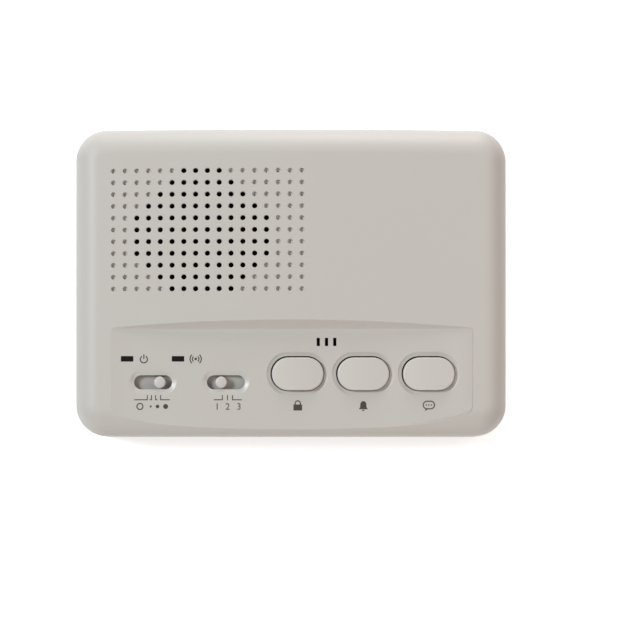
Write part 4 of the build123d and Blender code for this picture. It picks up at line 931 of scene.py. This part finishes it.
# %% Lines that follow the creases
panel_u = np.linspace(-PANEL_HALF_WIDTH, PANEL_HALF_WIDTH, 61) + PANEL_U
crest_v = PANEL_BACK_V + arch(panel_u) - PANEL_N
crease_lines = []
for offset in (-EDGE_SOFTNESS, 0.0, EDGE_SOFTNESS):
    crease_lines.append(np.column_stack([panel_u, np.full(len(panel_u), PANEL_BACK_V + offset)]))
    crease_lines.append(np.column_stack([panel_u, crest_v + offset]))
side_v = np.linspace(crest_v[0], front_crease(PANEL_HALF_WIDTH) + PANEL_CORNER_R, 14)[:-1]
round_angle = np.linspace(0, pi / 2, 13)
for offset in np.arange(-0.3, 0.43, 0.06):
    reach = PANEL_CORNER_R + offset
    round_u = PANEL_HALF_WIDTH - PANEL_CORNER_R + reach * np.cos(round_angle)
    front_u = np.linspace(round_u[-1], 0, 61)[1:]
    drop = np.concatenate([reach * np.sin(round_angle), np.full(len(front_u), reach)])
    from_middle = np.concatenate([np.full(len(side_v), PANEL_HALF_WIDTH + offset), round_u, front_u])
    halves = []
    for side in (1, -1):
        half_u = side * from_middle + PANEL_U
        low_v = front_crease(half_u[len(side_v) :]) + PANEL_CORNER_R - drop
        halves.append(np.column_stack([half_u, np.concatenate([side_v, low_v])]))
    crease_lines.append(np.concatenate([halves[0], halves[1][-2::-1]]))
print(len(crease_lines), "crease lines; the panel runs from", front_crease(0), "to", crest_v.max())

# %% Window for the grille, and points that fill the roof
window_steps = [
    np.linspace(low - PITCH / 2, high + PITCH / 2, count * TILE_STEPS + 1)
    for low, high, count in zip(GRID_LOW, GRID_HIGH, (COLUMNS, ROWS))
]
window = np.concatenate([
    [(u, window_steps[1][0]) for u in window_steps[0][:-1]],
    [(window_steps[0][-1], v) for v in window_steps[1][:-1]],
    [(u, window_steps[1][-1]) for u in window_steps[0][:0:-1]],
    [(window_steps[0][0], v) for v in window_steps[1][:0:-1]],
])
filling = [(u, v) for u in np.arange(-70, 71, 5.0) for v in np.arange(-45, 48, 5.0)]
print("window of", len(window), "points")

# %% Roof, outside and inside
ROLL_STEPS = 12
INNER_SHARES = (0.25, 0.5, 0.75)


def roll_ring(radius, share):
    """A line along the rolled edge, a share of the turn from the wall to the roof, seen along n."""
    return (raised(path_ring, path_heights) + radius * roll_ways(share))[:, :2]


roll_rings = [roll_ring(ROLL_R, step / ROLL_STEPS) for step in range(1, ROLL_STEPS + 1)]
flat, triangles = lay_sheet(edge_ring, [window, *openings], [*roll_rings, *rims], crease_lines, filling)
roof_shine = shine_over(panel_height, *flat.T)
roof_shine /= np.linalg.norm(roof_shine, axis=1, keepdims=True)
nearest = ((flat[:, None, :] - edge_ring[None, :, :]) ** 2).sum(axis=2)
on_edge = nearest.min(axis=1) < 0.04**2
roof_shine[on_edge] = wall_ways[nearest.argmin(axis=1)[on_edge]]
lid = Moulding()
lid.add_on_face(raised(flat, panel_height(*flat.T)), triangles, roof_shine[triangles.ravel()])
print("roof of", len(triangles), "triangles")

inner_edge = edge_ring - SKIN * edge_ways
inner_rings = [roll_ring(ROLL_R - SKIN, share) for share in INNER_SHARES]
# Below, one line along the foot of the panel's rear slope and one along its crest are enough.
inner_lines = [crease_lines[0], crease_lines[3]]
flat, triangles = lay_sheet(inner_edge, [window, *openings], inner_rings, inner_lines, filling)
under = raised(flat, roof_height(*flat.T, SKIN))
under_faces = triangles[:, ::-1]
first, second, third = under[under_faces.T]
under_shine = np.cross(second - first, third - first)
lid.add_on_face(under, under_faces, np.repeat(under_shine, 3, axis=0))
print("underside of", len(triangles), "triangles")

# %% Sides of the openings, and the walls
JOINT_GROOVE = 0.22
LIP_INSET = 1.1
LIP_HEIGHT = 2.1


def wall_ring(inset, height):
    """The case's outline in the leaning face's frame, drawn in, at a level height above the table."""
    flat_ring = edge_ring - inset * edge_ways
    return raised(flat_ring, (height - FACE_HEIGHT - flat_ring[:, 1] * sin(TILT)) / cos(TILT))


for loop in openings:
    rim = raised(loop, panel_height(*loop.T))[::-1]
    foot = raised(loop, roof_height(*loop.T, SKIN))[::-1]
    ways = raised(-outward(loop), 0)[::-1]
    lid.add_on_face(*band(rim, foot, ways, ways))
up = np.tile((0, 0, 1.0), (len(edge_ring), 1))
wall_rings = [
    raised(edge_ring, panel_height(*edge_ring.T)),
    wall_ring(0, PARTING_HEIGHT + JOINT_GROOVE),
    wall_ring(JOINT_GROOVE, PARTING_HEIGHT),
    wall_ring(LIP_INSET, PARTING_HEIGHT),
    wall_ring(LIP_INSET, PARTING_HEIGHT + LIP_HEIGHT),
    wall_ring(SKIN, PARTING_HEIGHT + LIP_HEIGHT),
    raised(inner_edge, roof_height(*inner_edge.T, SKIN)),
]
band_ways = [wall_ways, wall_ways - up, -up, -wall_ways, -up, -wall_ways]
for first, second, ways in zip(wall_rings, wall_rings[1:], band_ways):
    lid.add_on_face(*band(first, second, ways, ways))
print("walls of", len(band_ways), "bands")


# %% Set the grille into its window
def read_vectors(data, field):
    """Every vector in a list of mesh data."""
    values = np.empty(len(data) * 3)
    data.foreach_get(field, values)
    return values.reshape(-1, 3)


grille_points = read_vectors(grille_mesh.vertices, "co")
depth = (grille_points[:, 2] - arch(grille_points[:, 0])).round(3)
grille_points[:, :2] = grille_points[:, :2].round(4)
grille_points[:, 2] = arch(grille_points[:, 0]) + depth
below = depth < 0.001 - SKIN
grille_points[below, 2] = arch(grille_points[below, 0], CROWN_R - SKIN)
facing = read_vectors(grille_mesh.attributes["facing"].data, "vector")
facing[:, 0] += facing[:, 2] * grille_points[:, 0] / CROWN_R
grille_faces = [tuple(polygon.vertices) for polygon in grille_mesh.polygons]
grille_shine = []
for polygon in grille_mesh.polygons:
    faces_down = polygon.normal.z < -0.9
    grille_shine += [(0, 0, -1.0) if faces_down else facing[corner] for corner in polygon.vertices]
lid.add_on_face(grille_points, grille_faces, grille_shine)
for tile in (open_tile, blind_tile):
    bpy.data.objects.remove(tile)
add_moulding("lid", lid, case_plastic, "case", ["top_cover"])

# %% [markdown]
# ## Keys and knobs
# A key is a pill-shaped cap, crowned along its length, with a softly rounded edge. Its height is a formula
# too: the crown, less the drop of the edge's quarter circle near the rim. A knob is the same idea on a
# round outline, and it stands on a plate that keeps the slot closed wherever the knob is slid.
# In the photograph the keys sit a hair low and to the right in their slots, which shows more of the dark
# gap above and left of them.

# %% Caps with a rounded edge
EDGE_SHARES = (0.04, 0.12, 0.25, 0.45, 0.7, 1.0)
FINE_STEP = 0.002


def rounded_drop(distance, radius):
    """How far a rounded edge falls, by the distance in from its rim."""
    return radius - np.sqrt(radius**2 - (radius - np.clip(distance, 0, radius)) ** 2)


def make_cap(spot, size, rim, lines, spots, height, foot):
    """A cap's top, lifted by a height formula, and its straight side from the rim down to a foot."""
    flat, triangles = lay_sheet(rim, (), lines, (), spots)
    shine = shine_over(height, *flat.T, step=FINE_STEP)
    at_rim = np.abs(slot_distance(*flat.T, spot, size)) < 0.01
    half_run = (size[0] - size[1]) / 2
    off_line = flat[at_rim] - spot
    off_line[:, 0] -= np.clip(off_line[:, 0], -half_run, half_run)
    shine[at_rim] = raised(off_line, 0)
    rim_ways = raised(outward(rim), 0)
    cap = Moulding()
    cap.add_on_face(raised(flat, height(*flat.T)), triangles, shine[triangles.ravel()])
    cap.add_on_face(*band(raised(rim, height(*rim.T)), raised(rim, foot), rim_ways, rim_ways))
    return cap


# %% Push buttons
KEY_TOP_N = PANEL_N + 1.9
KEY_SIZE = (19.8, 12.6)
KEY_CROWN_R = 50.0
KEY_EDGE_R = 0.6
KEY_FOOT_N = -6.7
KEY_SAG = 0.15
KEY_DRIFT = 0.125

for name, button_u in BUTTON_U.items():
    spot = (button_u + KEY_DRIFT, BUTTON_V - KEY_SAG)

    def key_height(u, v):
        crown = KEY_TOP_N - KEY_CROWN_R + np.sqrt(KEY_CROWN_R**2 - (u - spot[0]) ** 2)
        return crown - rounded_drop(-slot_distance(u, v, spot, KEY_SIZE), KEY_EDGE_R)

    rim = pill(*spot, *KEY_SIZE)
    lines = [pill(*spot, *np.subtract(KEY_SIZE, 2 * KEY_EDGE_R * share)) for share in EDGE_SHARES]
    spots = [(spot[0] + off_u, BUTTON_V + off_v) for off_u in np.arange(-8, 9, 2.0) for off_v in (-3, 0, 3)]
    key = make_cap(spot, KEY_SIZE, rim, lines, spots, key_height, KEY_FOOT_N)
    key.add_on_face(*level_sheet(rim, KEY_FOOT_N, -1))
    add_moulding(f"{name}_key_cap", key, key_plastic, f"{name}_key", [f"{name}_button"])

# %% Slide knobs
KNOB_U = {"volume": -50.125, "channel": -26.65}
KNOB_TRAVEL = {"volume": 5.25, "channel": 3.5}
KNOB_R = 2.2
KNOB_POINTS = 40
KNOB_TOP_N = PANEL_N + 0.7
KNOB_EDGE_R = 0.4
KNOB_DOME = 0.075
PLATE_TOP_N = -6.3
PLATE_FOOT_N = -6.5
PLATE_BREADTH = 8.4
PLATE_OVERLAP = 1.6

for name, knob_u in KNOB_U.items():
    spot = (knob_u, SLIDE_V)

    def knob_height(u, v):
        reach = np.hypot(u - spot[0], v - spot[1])
        dome = KNOB_TOP_N - KNOB_DOME * reach**2
        return dome - rounded_drop(KNOB_R - reach, KNOB_EDGE_R)

    rim = circle(*spot, KNOB_R, KNOB_POINTS)
    lines = [circle(*spot, KNOB_R - KNOB_EDGE_R * share, KNOB_POINTS) for share in EDGE_SHARES]
    lines.append(circle(*spot, KNOB_R / 3, 12))
    knob = make_cap(spot, (2 * KNOB_R, 2 * KNOB_R), rim, lines, [spot], knob_height, PLATE_TOP_N)
    plate = slab(*spot, SLOT_LENGTH + KNOB_TRAVEL[name] + PLATE_OVERLAP, PLATE_BREADTH)
    knob.add_on_face(*level_sheet(plate, PLATE_TOP_N, 1, [rim]))
    knob.add_on_face(*level_sheet(plate, PLATE_FOOT_N, -1))
    for side in sharp_sides(plate, PLATE_TOP_N, PLATE_FOOT_N):
        knob.add_on_face(*side)
    add_moulding(f"{name}_knob_cap", knob, knob_plastic, f"{name}_slider", [f"{name}_knob"])

# %% [markdown]
# ## The base
# The base is a tray with slightly drafted walls, so that it comes out of its mould, and a rounded bottom
# edge. Its floor has four screw wells, four shallow seats for the feet and a row of vents. The back wall
# is a flat sheet of its own, because the cord's rubber bush goes through it.

# %% Rings of the base
BASE_Y = FACE_Y + LEAN_BACK
DRAFT = tan(radians(3.0))
FLOOR_Z = 1.5
FLOOR_TOP = 3.7
BOTTOM_R = 2.5
WELLS = [(x, y) for x in (-73.0, 73.0) for y in (-48.5, 48.5)]
FEET = [(x, y) for x in (-58.0, 58.0) for y in (-46.0, 46.0)]
VENTS = [(44.0 + 6.0 * step, -12.0) for step in range(-3, 4)]
GLAND_X = 52.0
GLAND_Z = 8.6


def base_ring(inset, height):
    """The base's outline, drawn in, at a height above the table."""
    ring, _ = case_ring(CASE_WIDTH / 2, BASE_DEPTH / 2, inset)
    return raised(ring + (0, BASE_Y), height)


groove_z = PARTING_HEIGHT - JOINT_GROOVE
round_z = FLOOR_Z + BOTTOM_R
round_inset = (groove_z - round_z) * DRAFT
steps = [(JOINT_GROOVE, PARTING_HEIGHT, 45.0), (0.0, groove_z, 45.0), (0.0, groove_z, 0.0)]
steps.append((round_inset, round_z, 0.0))
for turn in np.linspace(0, 90, 9)[1:]:
    inset = round_inset + BOTTOM_R * (1 - cos(radians(turn)))
    steps.append((inset, round_z - BOTTOM_R * sin(radians(turn)), -turn))
base = Moulding()
base_ways = case_ring(CASE_WIDTH / 2, BASE_DEPTH / 2)[1]
on_back = (np.abs(base_ring(0, 0)[:, 0]) <= CASE_WIDTH / 2 - CORNER_R + 0.001) & (base_ways[:, 1] > 0.999)


def base_band(first, second, first_ways, second_ways, open_back=False):
    """A band round the base, which can leave out the flat run of the back wall."""
    points, faces, normals = band(first, second, first_ways, second_ways)
    kept = [not (open_back and on_back[face[0]] and on_back[face[3]]) for face in faces]
    normals = normals.reshape(-1, 4, 3)[kept].reshape(-1, 3)
    base.add(points, [face for face, keep in zip(faces, kept) if keep], normals)


for (inset, height, lift), (next_inset, next_height, next_lift) in zip(steps, steps[1:]):
    if height != next_height:
        ways = raised(base_ways * cos(radians(lift)), sin(radians(lift)))
        next_ways = raised(base_ways * cos(radians(next_lift)), sin(radians(next_lift)))
        rings = base_ring(inset, height), base_ring(next_inset, next_height)
        base_band(*rings, ways, next_ways, open_back=next_height == round_z)
print("base rings:", len(steps))

# %% Back wall with its round seat for the bush
SEAT_Y = 58.55
SEAT_R = 4.55
NECK_R = 3.75
ROUND_POINTS = 40
INNER_INSET = 2.2
LIP_TOP = 16.0
seat = circle(GLAND_X, GLAND_Z, SEAT_R, ROUND_POINTS)
neck = circle(GLAND_X, GLAND_Z, NECK_R, ROUND_POINTS)
outer_wall = base_ring(0.0, groove_z), base_ring(round_inset, round_z)
inner_wall = base_ring(INNER_INSET, LIP_TOP), base_ring(INNER_INSET, FLOOR_TOP)


def on_wall(flat, high_ring, low_ring):
    """Points on the flat back run between two rings, by their place across and their height."""
    (_, high_y, high_z), (_, low_y, low_z) = high_ring[on_back][0], low_ring[on_back][0]
    y = low_y + (flat[:, 1] - low_z) * (high_y - low_y) / (high_z - low_z)
    return np.column_stack([flat[:, 0], y, flat[:, 1]])


for (high_ring, low_ring), hole, way in ((outer_wall, seat, 1.0), (inner_wall, neck, -1.0)):
    order = np.argsort(high_ring[on_back][:, 0])
    outline = np.concatenate([low_ring[on_back][order], high_ring[on_back][order[::-1]]])[:, [0, 2]]
    flat, triangles = lay_sheet(outline, [hole])
    faces = triangles[:, ::-1] if way > 0 else triangles
    base.add(on_wall(flat, high_ring, low_ring), faces, np.tile((0, way, 0), (triangles.size, 1)))
seat_edge = on_wall(seat, *outer_wall)
seat_back, neck_back = [np.insert(loop, 1, SEAT_Y, axis=1) for loop in (seat, neck)]
hole_ways = (GLAND_X, SEAT_Y, GLAND_Z) - seat_back
back_ways = np.tile((0, 1.0, 0), (ROUND_POINTS, 1))
base.add(*band(seat_edge, seat_back, hole_ways, hole_ways))
base.add(*band(seat_back, neck_back, back_ways, back_ways))
base.add(*band(neck_back, on_wall(neck, *inner_wall), hole_ways, hole_ways))
print("back wall with a seat at", SEAT_Y, "mm")

# %% Floor, seats, wells, vents and the inside of the tray
WELL_R = 3.3
WELL_DEPTH = 6.5
POST_R = 5.5
FOOT_SEAT_R = 5.05
FOOT_SEAT_DEPTH = 0.5
VENT_SIZE = (24.0, 2.2)
LIP_GAP = 0.1
well_loops = [circle(*spot, WELL_R, 32) for spot in WELLS]
foot_loops = [circle(*spot, FOOT_SEAT_R, 36) for spot in FEET]
post_loops = [circle(*spot, POST_R, 32) for spot in WELLS]
upright = pill(0, 0, *VENT_SIZE, 10)[:, ::-1] * (-1, 1)
vent_loops = [upright + spot for spot in VENTS]
floor_outline = base_ring(*steps[-1][:2])[:, :2]
tray_outline = base_ring(INNER_INSET, FLOOR_TOP)[:, :2]
base.add(*level_sheet(floor_outline, FLOOR_Z, -1, [*well_loops, *foot_loops, *vent_loops]))
for loops, depth in ((foot_loops, FOOT_SEAT_DEPTH), (well_loops, WELL_DEPTH)):
    for loop in loops:
        base.add(*sides(loop, FLOOR_Z, FLOOR_Z + depth))
        base.add(*level_sheet(loop, FLOOR_Z + depth, -1))
for loop in vent_loops:
    base.add(*sides(loop, FLOOR_Z, FLOOR_TOP))
base.add(*level_sheet(tray_outline, FLOOR_TOP, 1, [*vent_loops, *post_loops]))
for loop in post_loops:
    base.add(*sides(loop, PARTING_HEIGHT, FLOOR_TOP))
    base.add(*level_sheet(loop, PARTING_HEIGHT, 1))
out_ways = raised(base_ways, 0)
lip_top, lip_foot = [base_ring(LIP_INSET + LIP_GAP, height) for height in (LIP_TOP, PARTING_HEIGHT)]
base_band(inner_wall[1], inner_wall[0], -out_ways, -out_ways, open_back=True)
base_band(inner_wall[0], lip_top, up, up)
base_band(lip_top, lip_foot, out_ways, out_ways)
base_band(lip_foot, base_ring(JOINT_GROOVE, PARTING_HEIGHT), up, up)
add_moulding("base_tray", base, case_plastic, "case", ["base_cover"])

# %% [markdown]
# ## Feet, screws and the bush
# These are turned shapes, so each is a profile spun about an axis. Feet and screws come in fours: one is
# made, and a small tree sets a copy on each of four points.

# %% Spin a profile
SMOOTH_ABOVE = 0.8


def spin(profile, count):
    """A shape turned about Z from a profile of radius and height that has its solid on the left."""
    profile = np.array(profile, float)
    runs = np.diff(profile, axis=0)
    ways = np.column_stack([runs[:, 1], -runs[:, 0]]) / np.linalg.norm(runs, axis=1, keepdims=True)
    spokes = circle(0, 0, 1, count)
    shape = Moulding()
    for step, way in enumerate(ways):
        shines = []
        for neighbour in (step - 1, step + 1):
            smooth = 0 <= neighbour < len(ways) and way @ ways[neighbour] > SMOOTH_ABOVE
            blended = way + ways[neighbour] if smooth else way
            shines.append(raised(spokes * blended[0], blended[1]))
        low, high = [raised(spokes * radius, height) for radius, height in profile[step : step + 2]]
        shape.add(*band(high, low, shines[1], shines[0]))
    return shape


# %% A tree that sets copies on points
graph, given = new_tree("set_copies", {"Shape": "Object", "Finish": "Material"})
single_shape = graph.add("GeometryNodeObjectInfo", {"Object": given["Shape"]}, "Geometry")
on_points = {"Points": given["Geometry"], "Instance": single_shape}
finish_tree(graph, graph.add("GeometryNodeInstanceOnPoints", on_points), given["Finish"])
copy_tree = graph.tree


def set_copies(name, shape, spots, finish, node):
    """Copies of a shape on points, as one piece that stands for a node."""
    single = new_object(f"{name}_shape", shape.mesh(f"{name}_shape"))
    values = {"Shape": single, "Finish": finishes[finish]}
    mesh = grow(name, copy_tree, values, np.array(spots) * MM)
    bpy.data.objects.remove(single)
    add_piece(name, mesh, "case", [node])


# %% Rubber feet
foot_profile = [
    (0, 0.12), (3.6, 0.12), (4.0, 0.0), (4.45, 0.0), (4.72, 0.07), (4.9, 0.22), (5.0, 0.5), (5.0, 2.0),
    (0, 2.0),
]
foot_spots = [(x, y, 0) for x, y in FEET]
set_copies("rubber_pads", spin(foot_profile, 40), foot_spots, "black_rubber", "rubber_feet")

# %% Case screws, seen up the wells
FACE_R = 2.2
HEAD_R = 2.8
HEAD_DEPTH = 1.8
SHANK_R = 1.5
CROSS_REACH = 1.6
CROSS_HALF = 0.3
CROSS_DEPTH = 1.0
head_profile = [
    (FACE_R, 0.0), (2.55, 0.12), (2.75, 0.4), (HEAD_R, 0.8), (HEAD_R, HEAD_DEPTH),
    (SHANK_R, HEAD_DEPTH), (SHANK_R, 15.2), (0, 15.9),
]
arm = np.array([(CROSS_REACH, -CROSS_HALF), (CROSS_REACH, CROSS_HALF), (CROSS_HALF, CROSS_HALF)])
quarter_turn = np.array([(0, 1), (-1, 0)])
cross = np.concatenate([arm @ np.linalg.matrix_power(quarter_turn, turn) for turn in range(4)])
screw = spin(head_profile, 24)
screw.add(*level_sheet(circle(0, 0, FACE_R, 24), 0.0, -1, [cross]))
for side in sharp_sides(cross, 0.0, CROSS_DEPTH):
    screw.add(*side)
screw.add(*level_sheet(cross, CROSS_DEPTH, -1))
screw_spots = [(x, y, FLOOR_Z + WELL_DEPTH - HEAD_DEPTH) for x, y in WELLS]
set_copies("lid_screws", screw, screw_spots, "zinc_steel", "case_screws")

# %% Rubber bush for the cord
BUSH_Y = 59.4
bush_profile = [
    (2.75, 8.5), (2.75, 0.5), (2.9, 0.15), (3.25, 0.0), (4.1, 0.0), (4.35, 0.1), (4.5, 0.35), (4.5, 0.85),
    (3.7, 0.85), (3.7, 2.45), (4.5, 2.45), (4.3, 4.05), (3.7, 4.05), (3.7, 8.5), (2.75, 8.5),
]
bush = spin(bush_profile, 40)
lay_back = np.array([(1, 0, 0), (0, 0, 1), (0, -1, 0)], float)
bush.points = [points @ lay_back + (GLAND_X, BUSH_Y, GLAND_Z) for points in bush.points]
bush.shine = [ways @ lay_back for ways in bush.shine]
add_moulding("cord_bush", bush, finishes["black_rubber"], "case", ["cord_gland"])

# %% [markdown]
# ## Printed signs
# The panel carries small dark prints: a scale under each slide switch and a sign by each lamp and key.
# A print is a film of ink, so each mark is a flat shape a few hundredths of a millimetre proud of the
# plastic. Plain signs and figures are used: a power sign, a busy sign, a padlock, a bell and a speech
# bubble, with dots that grow with loudness and the figures 1, 2 and 3 for the channels.

# %% Strokes of ink
INK_N = PANEL_N + 0.03
ink = Moulding()


def print_shape(loop, holes=()):
    """A flat filled shape on the panel."""
    ink.add_on_face(*level_sheet(loop, INK_N, 1, holes))


def print_stroke(path, width, closed=False):
    """A line of even width along a path."""
    path = np.asarray(path, float)
    along = np.roll(path, -1, axis=0) - np.roll(path, 1, axis=0) if closed else np.gradient(path, axis=0)
    along /= np.linalg.norm(along, axis=1, keepdims=True)
    side = np.column_stack([-along[:, 1], along[:, 0]]) * width / 2
    if closed:
        print_shape(path - side, [path + side])
    else:
        print_shape(np.concatenate([path - side, (path + side)[::-1]]))


def arc(x, y, radius, start, end, count=24):
    """Points along an arc, with its angles in degrees."""
    angle = np.radians(np.linspace(start, end, count))
    return np.column_stack([x + radius * np.cos(angle), y + radius * np.sin(angle)])


# %% Scales under the slide switches
LINE = 0.36
TICK_TOP_V = -43.35
TICK_FOOT_V = TICK_TOP_V - 1.75
SCALE_V = -47.65
volume_ticks = [-54.9, -53.3, -51.7, -49.8]
channel_ticks = [-26.2, -24.25, -22.35]
for ticks, (left, right) in ((volume_ticks, (-59.9, -46.3)), (channel_ticks, (-29.5, -18.8))):
    for tick in ticks:
        print_stroke([(tick, TICK_TOP_V), (tick, TICK_FOOT_V - LINE / 2)], LINE)
    print_stroke([(left, TICK_FOOT_V), (ticks[0], TICK_FOOT_V)], LINE)
    print_stroke([(ticks[-1], TICK_FOOT_V), (right, TICK_FOOT_V)], LINE)
for tick, reach in ((volume_ticks[1], -0.7), (volume_ticks[2], 0.7)):
    print_stroke([(tick, TICK_FOOT_V), (tick + reach, TICK_FOOT_V)], LINE)
for dot_u, dot_r in ((-53.6, 0.40), (-51.0, 0.68), (-47.9, 0.95)):
    print_shape(circle(dot_u, SCALE_V, dot_r, 32))
print_stroke(circle(-57.7, SCALE_V, 1.15, 40), 0.42, closed=True)

# %% Signs by the lamps and keys
SIGN = 0.42
LAMP_SIGN_V = -29.5
KEY_SIGN_V = -47.4
power_u, busy_u = -56.2, -36.4
print_stroke(arc(power_u, LAMP_SIGN_V - 0.15, 1.35, 122, 418), SIGN)
print_stroke([(power_u, LAMP_SIGN_V + 1.75), (power_u, LAMP_SIGN_V)], SIGN)
print_shape(circle(busy_u, LAMP_SIGN_V, 0.5, 24))
for middle in (0, 180):
    for radius in (1.25, 2.15):
        print_stroke(arc(busy_u, LAMP_SIGN_V, radius, middle - 48, middle + 48, 16), SIGN)
lock, call, talk = [np.array([button_u + KEY_DRIFT, KEY_SIGN_V]) for button_u in BUTTON_U.values()]
print_shape(slab(*lock + (0, -0.65), 3.3, 2.3))
shackle = [[(1.0, 0.3)], arc(0, 0.9, 1.0, 0, 180), [(-1.0, 0.3)]]
print_stroke(np.concatenate(shackle) + lock, SIGN)
bell = [arc(0, 0.7, 1.1, 0, 180), [(-1.25, -0.7), (-1.85, -1.3), (1.85, -1.3), (1.25, -0.7)]]
print_shape(np.concatenate(bell) + call)
print_shape(arc(*call + (0, -1.5), 0.5, 180, 360))
print_stroke(pill(*talk + (0, 0.3), 4.3, 2.9), SIGN, closed=True)
print_shape(np.array([(-1.2, -1.05), (-0.2, -1.05), (-1.45, -2.1)]) + talk)
for step in (-1, 0, 1):
    print_shape(circle(*talk + (0.95 * step, 0.3), 0.27, 16))


# %% Figures for the channels
def print_figure(figure, u, v, height):
    """A figure set in Blender's own plain type."""
    text = bpy.data.curves.new(f"figure_{figure}", "FONT")
    text.body = figure
    text.align_x = "CENTER"
    text.align_y = "CENTER"
    mesh = take_mesh(new_object(text.name, text))
    flat = np.array([vertex.co[:2] for vertex in mesh.vertices])
    flat = (flat - (flat.min(axis=0) + flat.max(axis=0)) / 2) * height / np.ptp(flat[:, 1]) + (u, v)
    faces = [tuple(polygon.vertices) for polygon in mesh.polygons]
    if mesh.polygons[0].normal.z < 0:
        faces = [face[::-1] for face in faces]
    ways = np.tile((0, 0, 1.0), (sum(len(face) for face in faces), 1))
    ink.add_on_face(raised(flat, INK_N), faces, ways)


for figure, figure_u in zip("123", (-28.2, -24.2, -19.9)):
    print_figure(figure, figure_u, SCALE_V, 2.5)
add_moulding("panel_signs", ink, panel_ink, "case", [])

# %% [markdown]
# ## Stage
# The station stands on a white table under soft light from the upper left, as in a catalogue. The table
# glows a little where it is seen, straight or mirrored, which whitens it and keeps its shadow, but it sheds
# no light on the plastic. Far from the station, where the lamps don't reach, it glows more, so that it runs
# into the sky, which is white to the camera and dim to everything else. Seen from below, the table is
# clear, so that the feet can be looked at.

# %% Table and surroundings
NEAR_GLOW = 0.55
NEAR_RANGE = 0.35
FAR_RANGE = 0.8
TABLE_HALF = 4
SKY_GLOW = 0.14
table_corners = slab(0, 0, 2 * TABLE_HALF, 2 * TABLE_HALF)
table_mesh = bpy.data.meshes.new("table")
table_mesh.from_pydata(raised(table_corners, 0), [], [(0, 1, 2, 3)])
table = new_object("table", table_mesh)
table_paint = bpy.data.materials.new("table_paint")
table_paint.use_nodes = True
graph = Graph(table_paint.node_tree)
paint = table_paint.node_tree.nodes["Principled BSDF"]
place = graph.add("ShaderNodeTexCoord", output="Object")
away = graph.add("ShaderNodeVectorMath", {0: place}, "Value", operation="LENGTH")
far = ((away - NEAR_RANGE) / (FAR_RANGE - NEAR_RANGE)).share()
to_camera = graph.add("ShaderNodeLightPath", output="Is Camera Ray")
mirrored = to_camera.other("Is Glossy Ray")
seen = to_camera.larger(mirrored).larger(to_camera.other("Is Transmission Ray"))
graph.feed(paint, {
    "Base Color": (0.8, 0.8, 0.8, 1),
    "Roughness": 0.9,
    "Specular IOR Level": 0.0,
    "Emission Color": NEAR_GLOW + (1 - NEAR_GLOW) * far,
    "Emission Strength": seen,
})
from_below = graph.add("ShaderNodeNewGeometry", output="Backfacing")
clear = graph.add("ShaderNodeBsdfTransparent")
opaque = Signal(graph, paint.outputs["BSDF"])
surface = graph.add("ShaderNodeMixShader", {0: from_below, 1: opaque, 2: clear})
graph.feed(table_paint.node_tree.nodes["Material Output"], {"Surface": surface})
table_mesh.materials.append(table_paint)

world = bpy.data.worlds.new("studio")
bpy.context.scene.world = world
world.use_nodes = True
graph = Graph(world.node_tree)
to_camera = graph.add("ShaderNodeLightPath", output="Is Camera Ray")
sky_strength = SKY_GLOW + (1 - SKY_GLOW) * to_camera
graph.feed(world.node_tree.nodes["Background"], {"Color": (1, 1, 1, 1), "Strength": sky_strength})

# %% [markdown]
# The main lamp is large, cool and far away at the upper left. A low lamp behind the station brightens the
# far roll, and two weak warm ones lift the front edge and the right side. Each is placed by its distance
# across, up and out of the face, in millimetres.

# %% Lamps
face_middle = Vector(place_from_face([(0, 0, 0)])[0] * MM)


def soft_lamp(name, spot, size, power, colour):
    """A square lamp, placed from the middle of the face and turned towards it."""
    lamp = bpy.data.lights.new(name, "AREA")
    lamp.size = size
    lamp.energy = power
    lamp.color = colour
    stand = new_object(name, lamp)
    stand.location = place_from_face([spot])[0] * MM
    stand.rotation_euler = (face_middle - stand.location).to_track_quat("-Z", "Y").to_euler()


soft_lamp("desk_lamp", (-1400, 440, 1400), size=0.6, power=28.8, colour=(0.885, 0.975, 1.0))
soft_lamp("window_lamp", (100, 980, 150), size=0.6, power=7.2, colour=(1.0, 0.97, 0.97))
soft_lamp("front_lamp", (0, -800, 500), size=0.9, power=3.5, colour=(1.0, 0.92, 0.85))
soft_lamp("room_lamp", (420, 60, 400), size=0.35, power=0.95, colour=(1.0, 0.9, 0.82))

# %% [markdown]
# The camera looks square to the face, so the grille's pitch is the same across the picture as up it. It
# stands over the panel rather than over the middle, and a shifted lens brings the station to its place.

# %% Camera
CAMERA_V = -50.0
CAMERA_DISTANCE = 700.0
camera = bpy.data.cameras.new("camera")
camera.sensor_width = 36.0
camera.lens = 103.55
camera.shift_x = 0.0454
camera.shift_y = 0.1447
tripod = new_object("camera", camera)
tripod.location = place_from_face([(0, CAMERA_V, CAMERA_DISTANCE)])[0] * MM
tripod.rotation_euler = (TILT, 0, 0)
bpy.context.scene.camera = tripod
bpy.context.scene.view_settings.view_transform = "Standard"
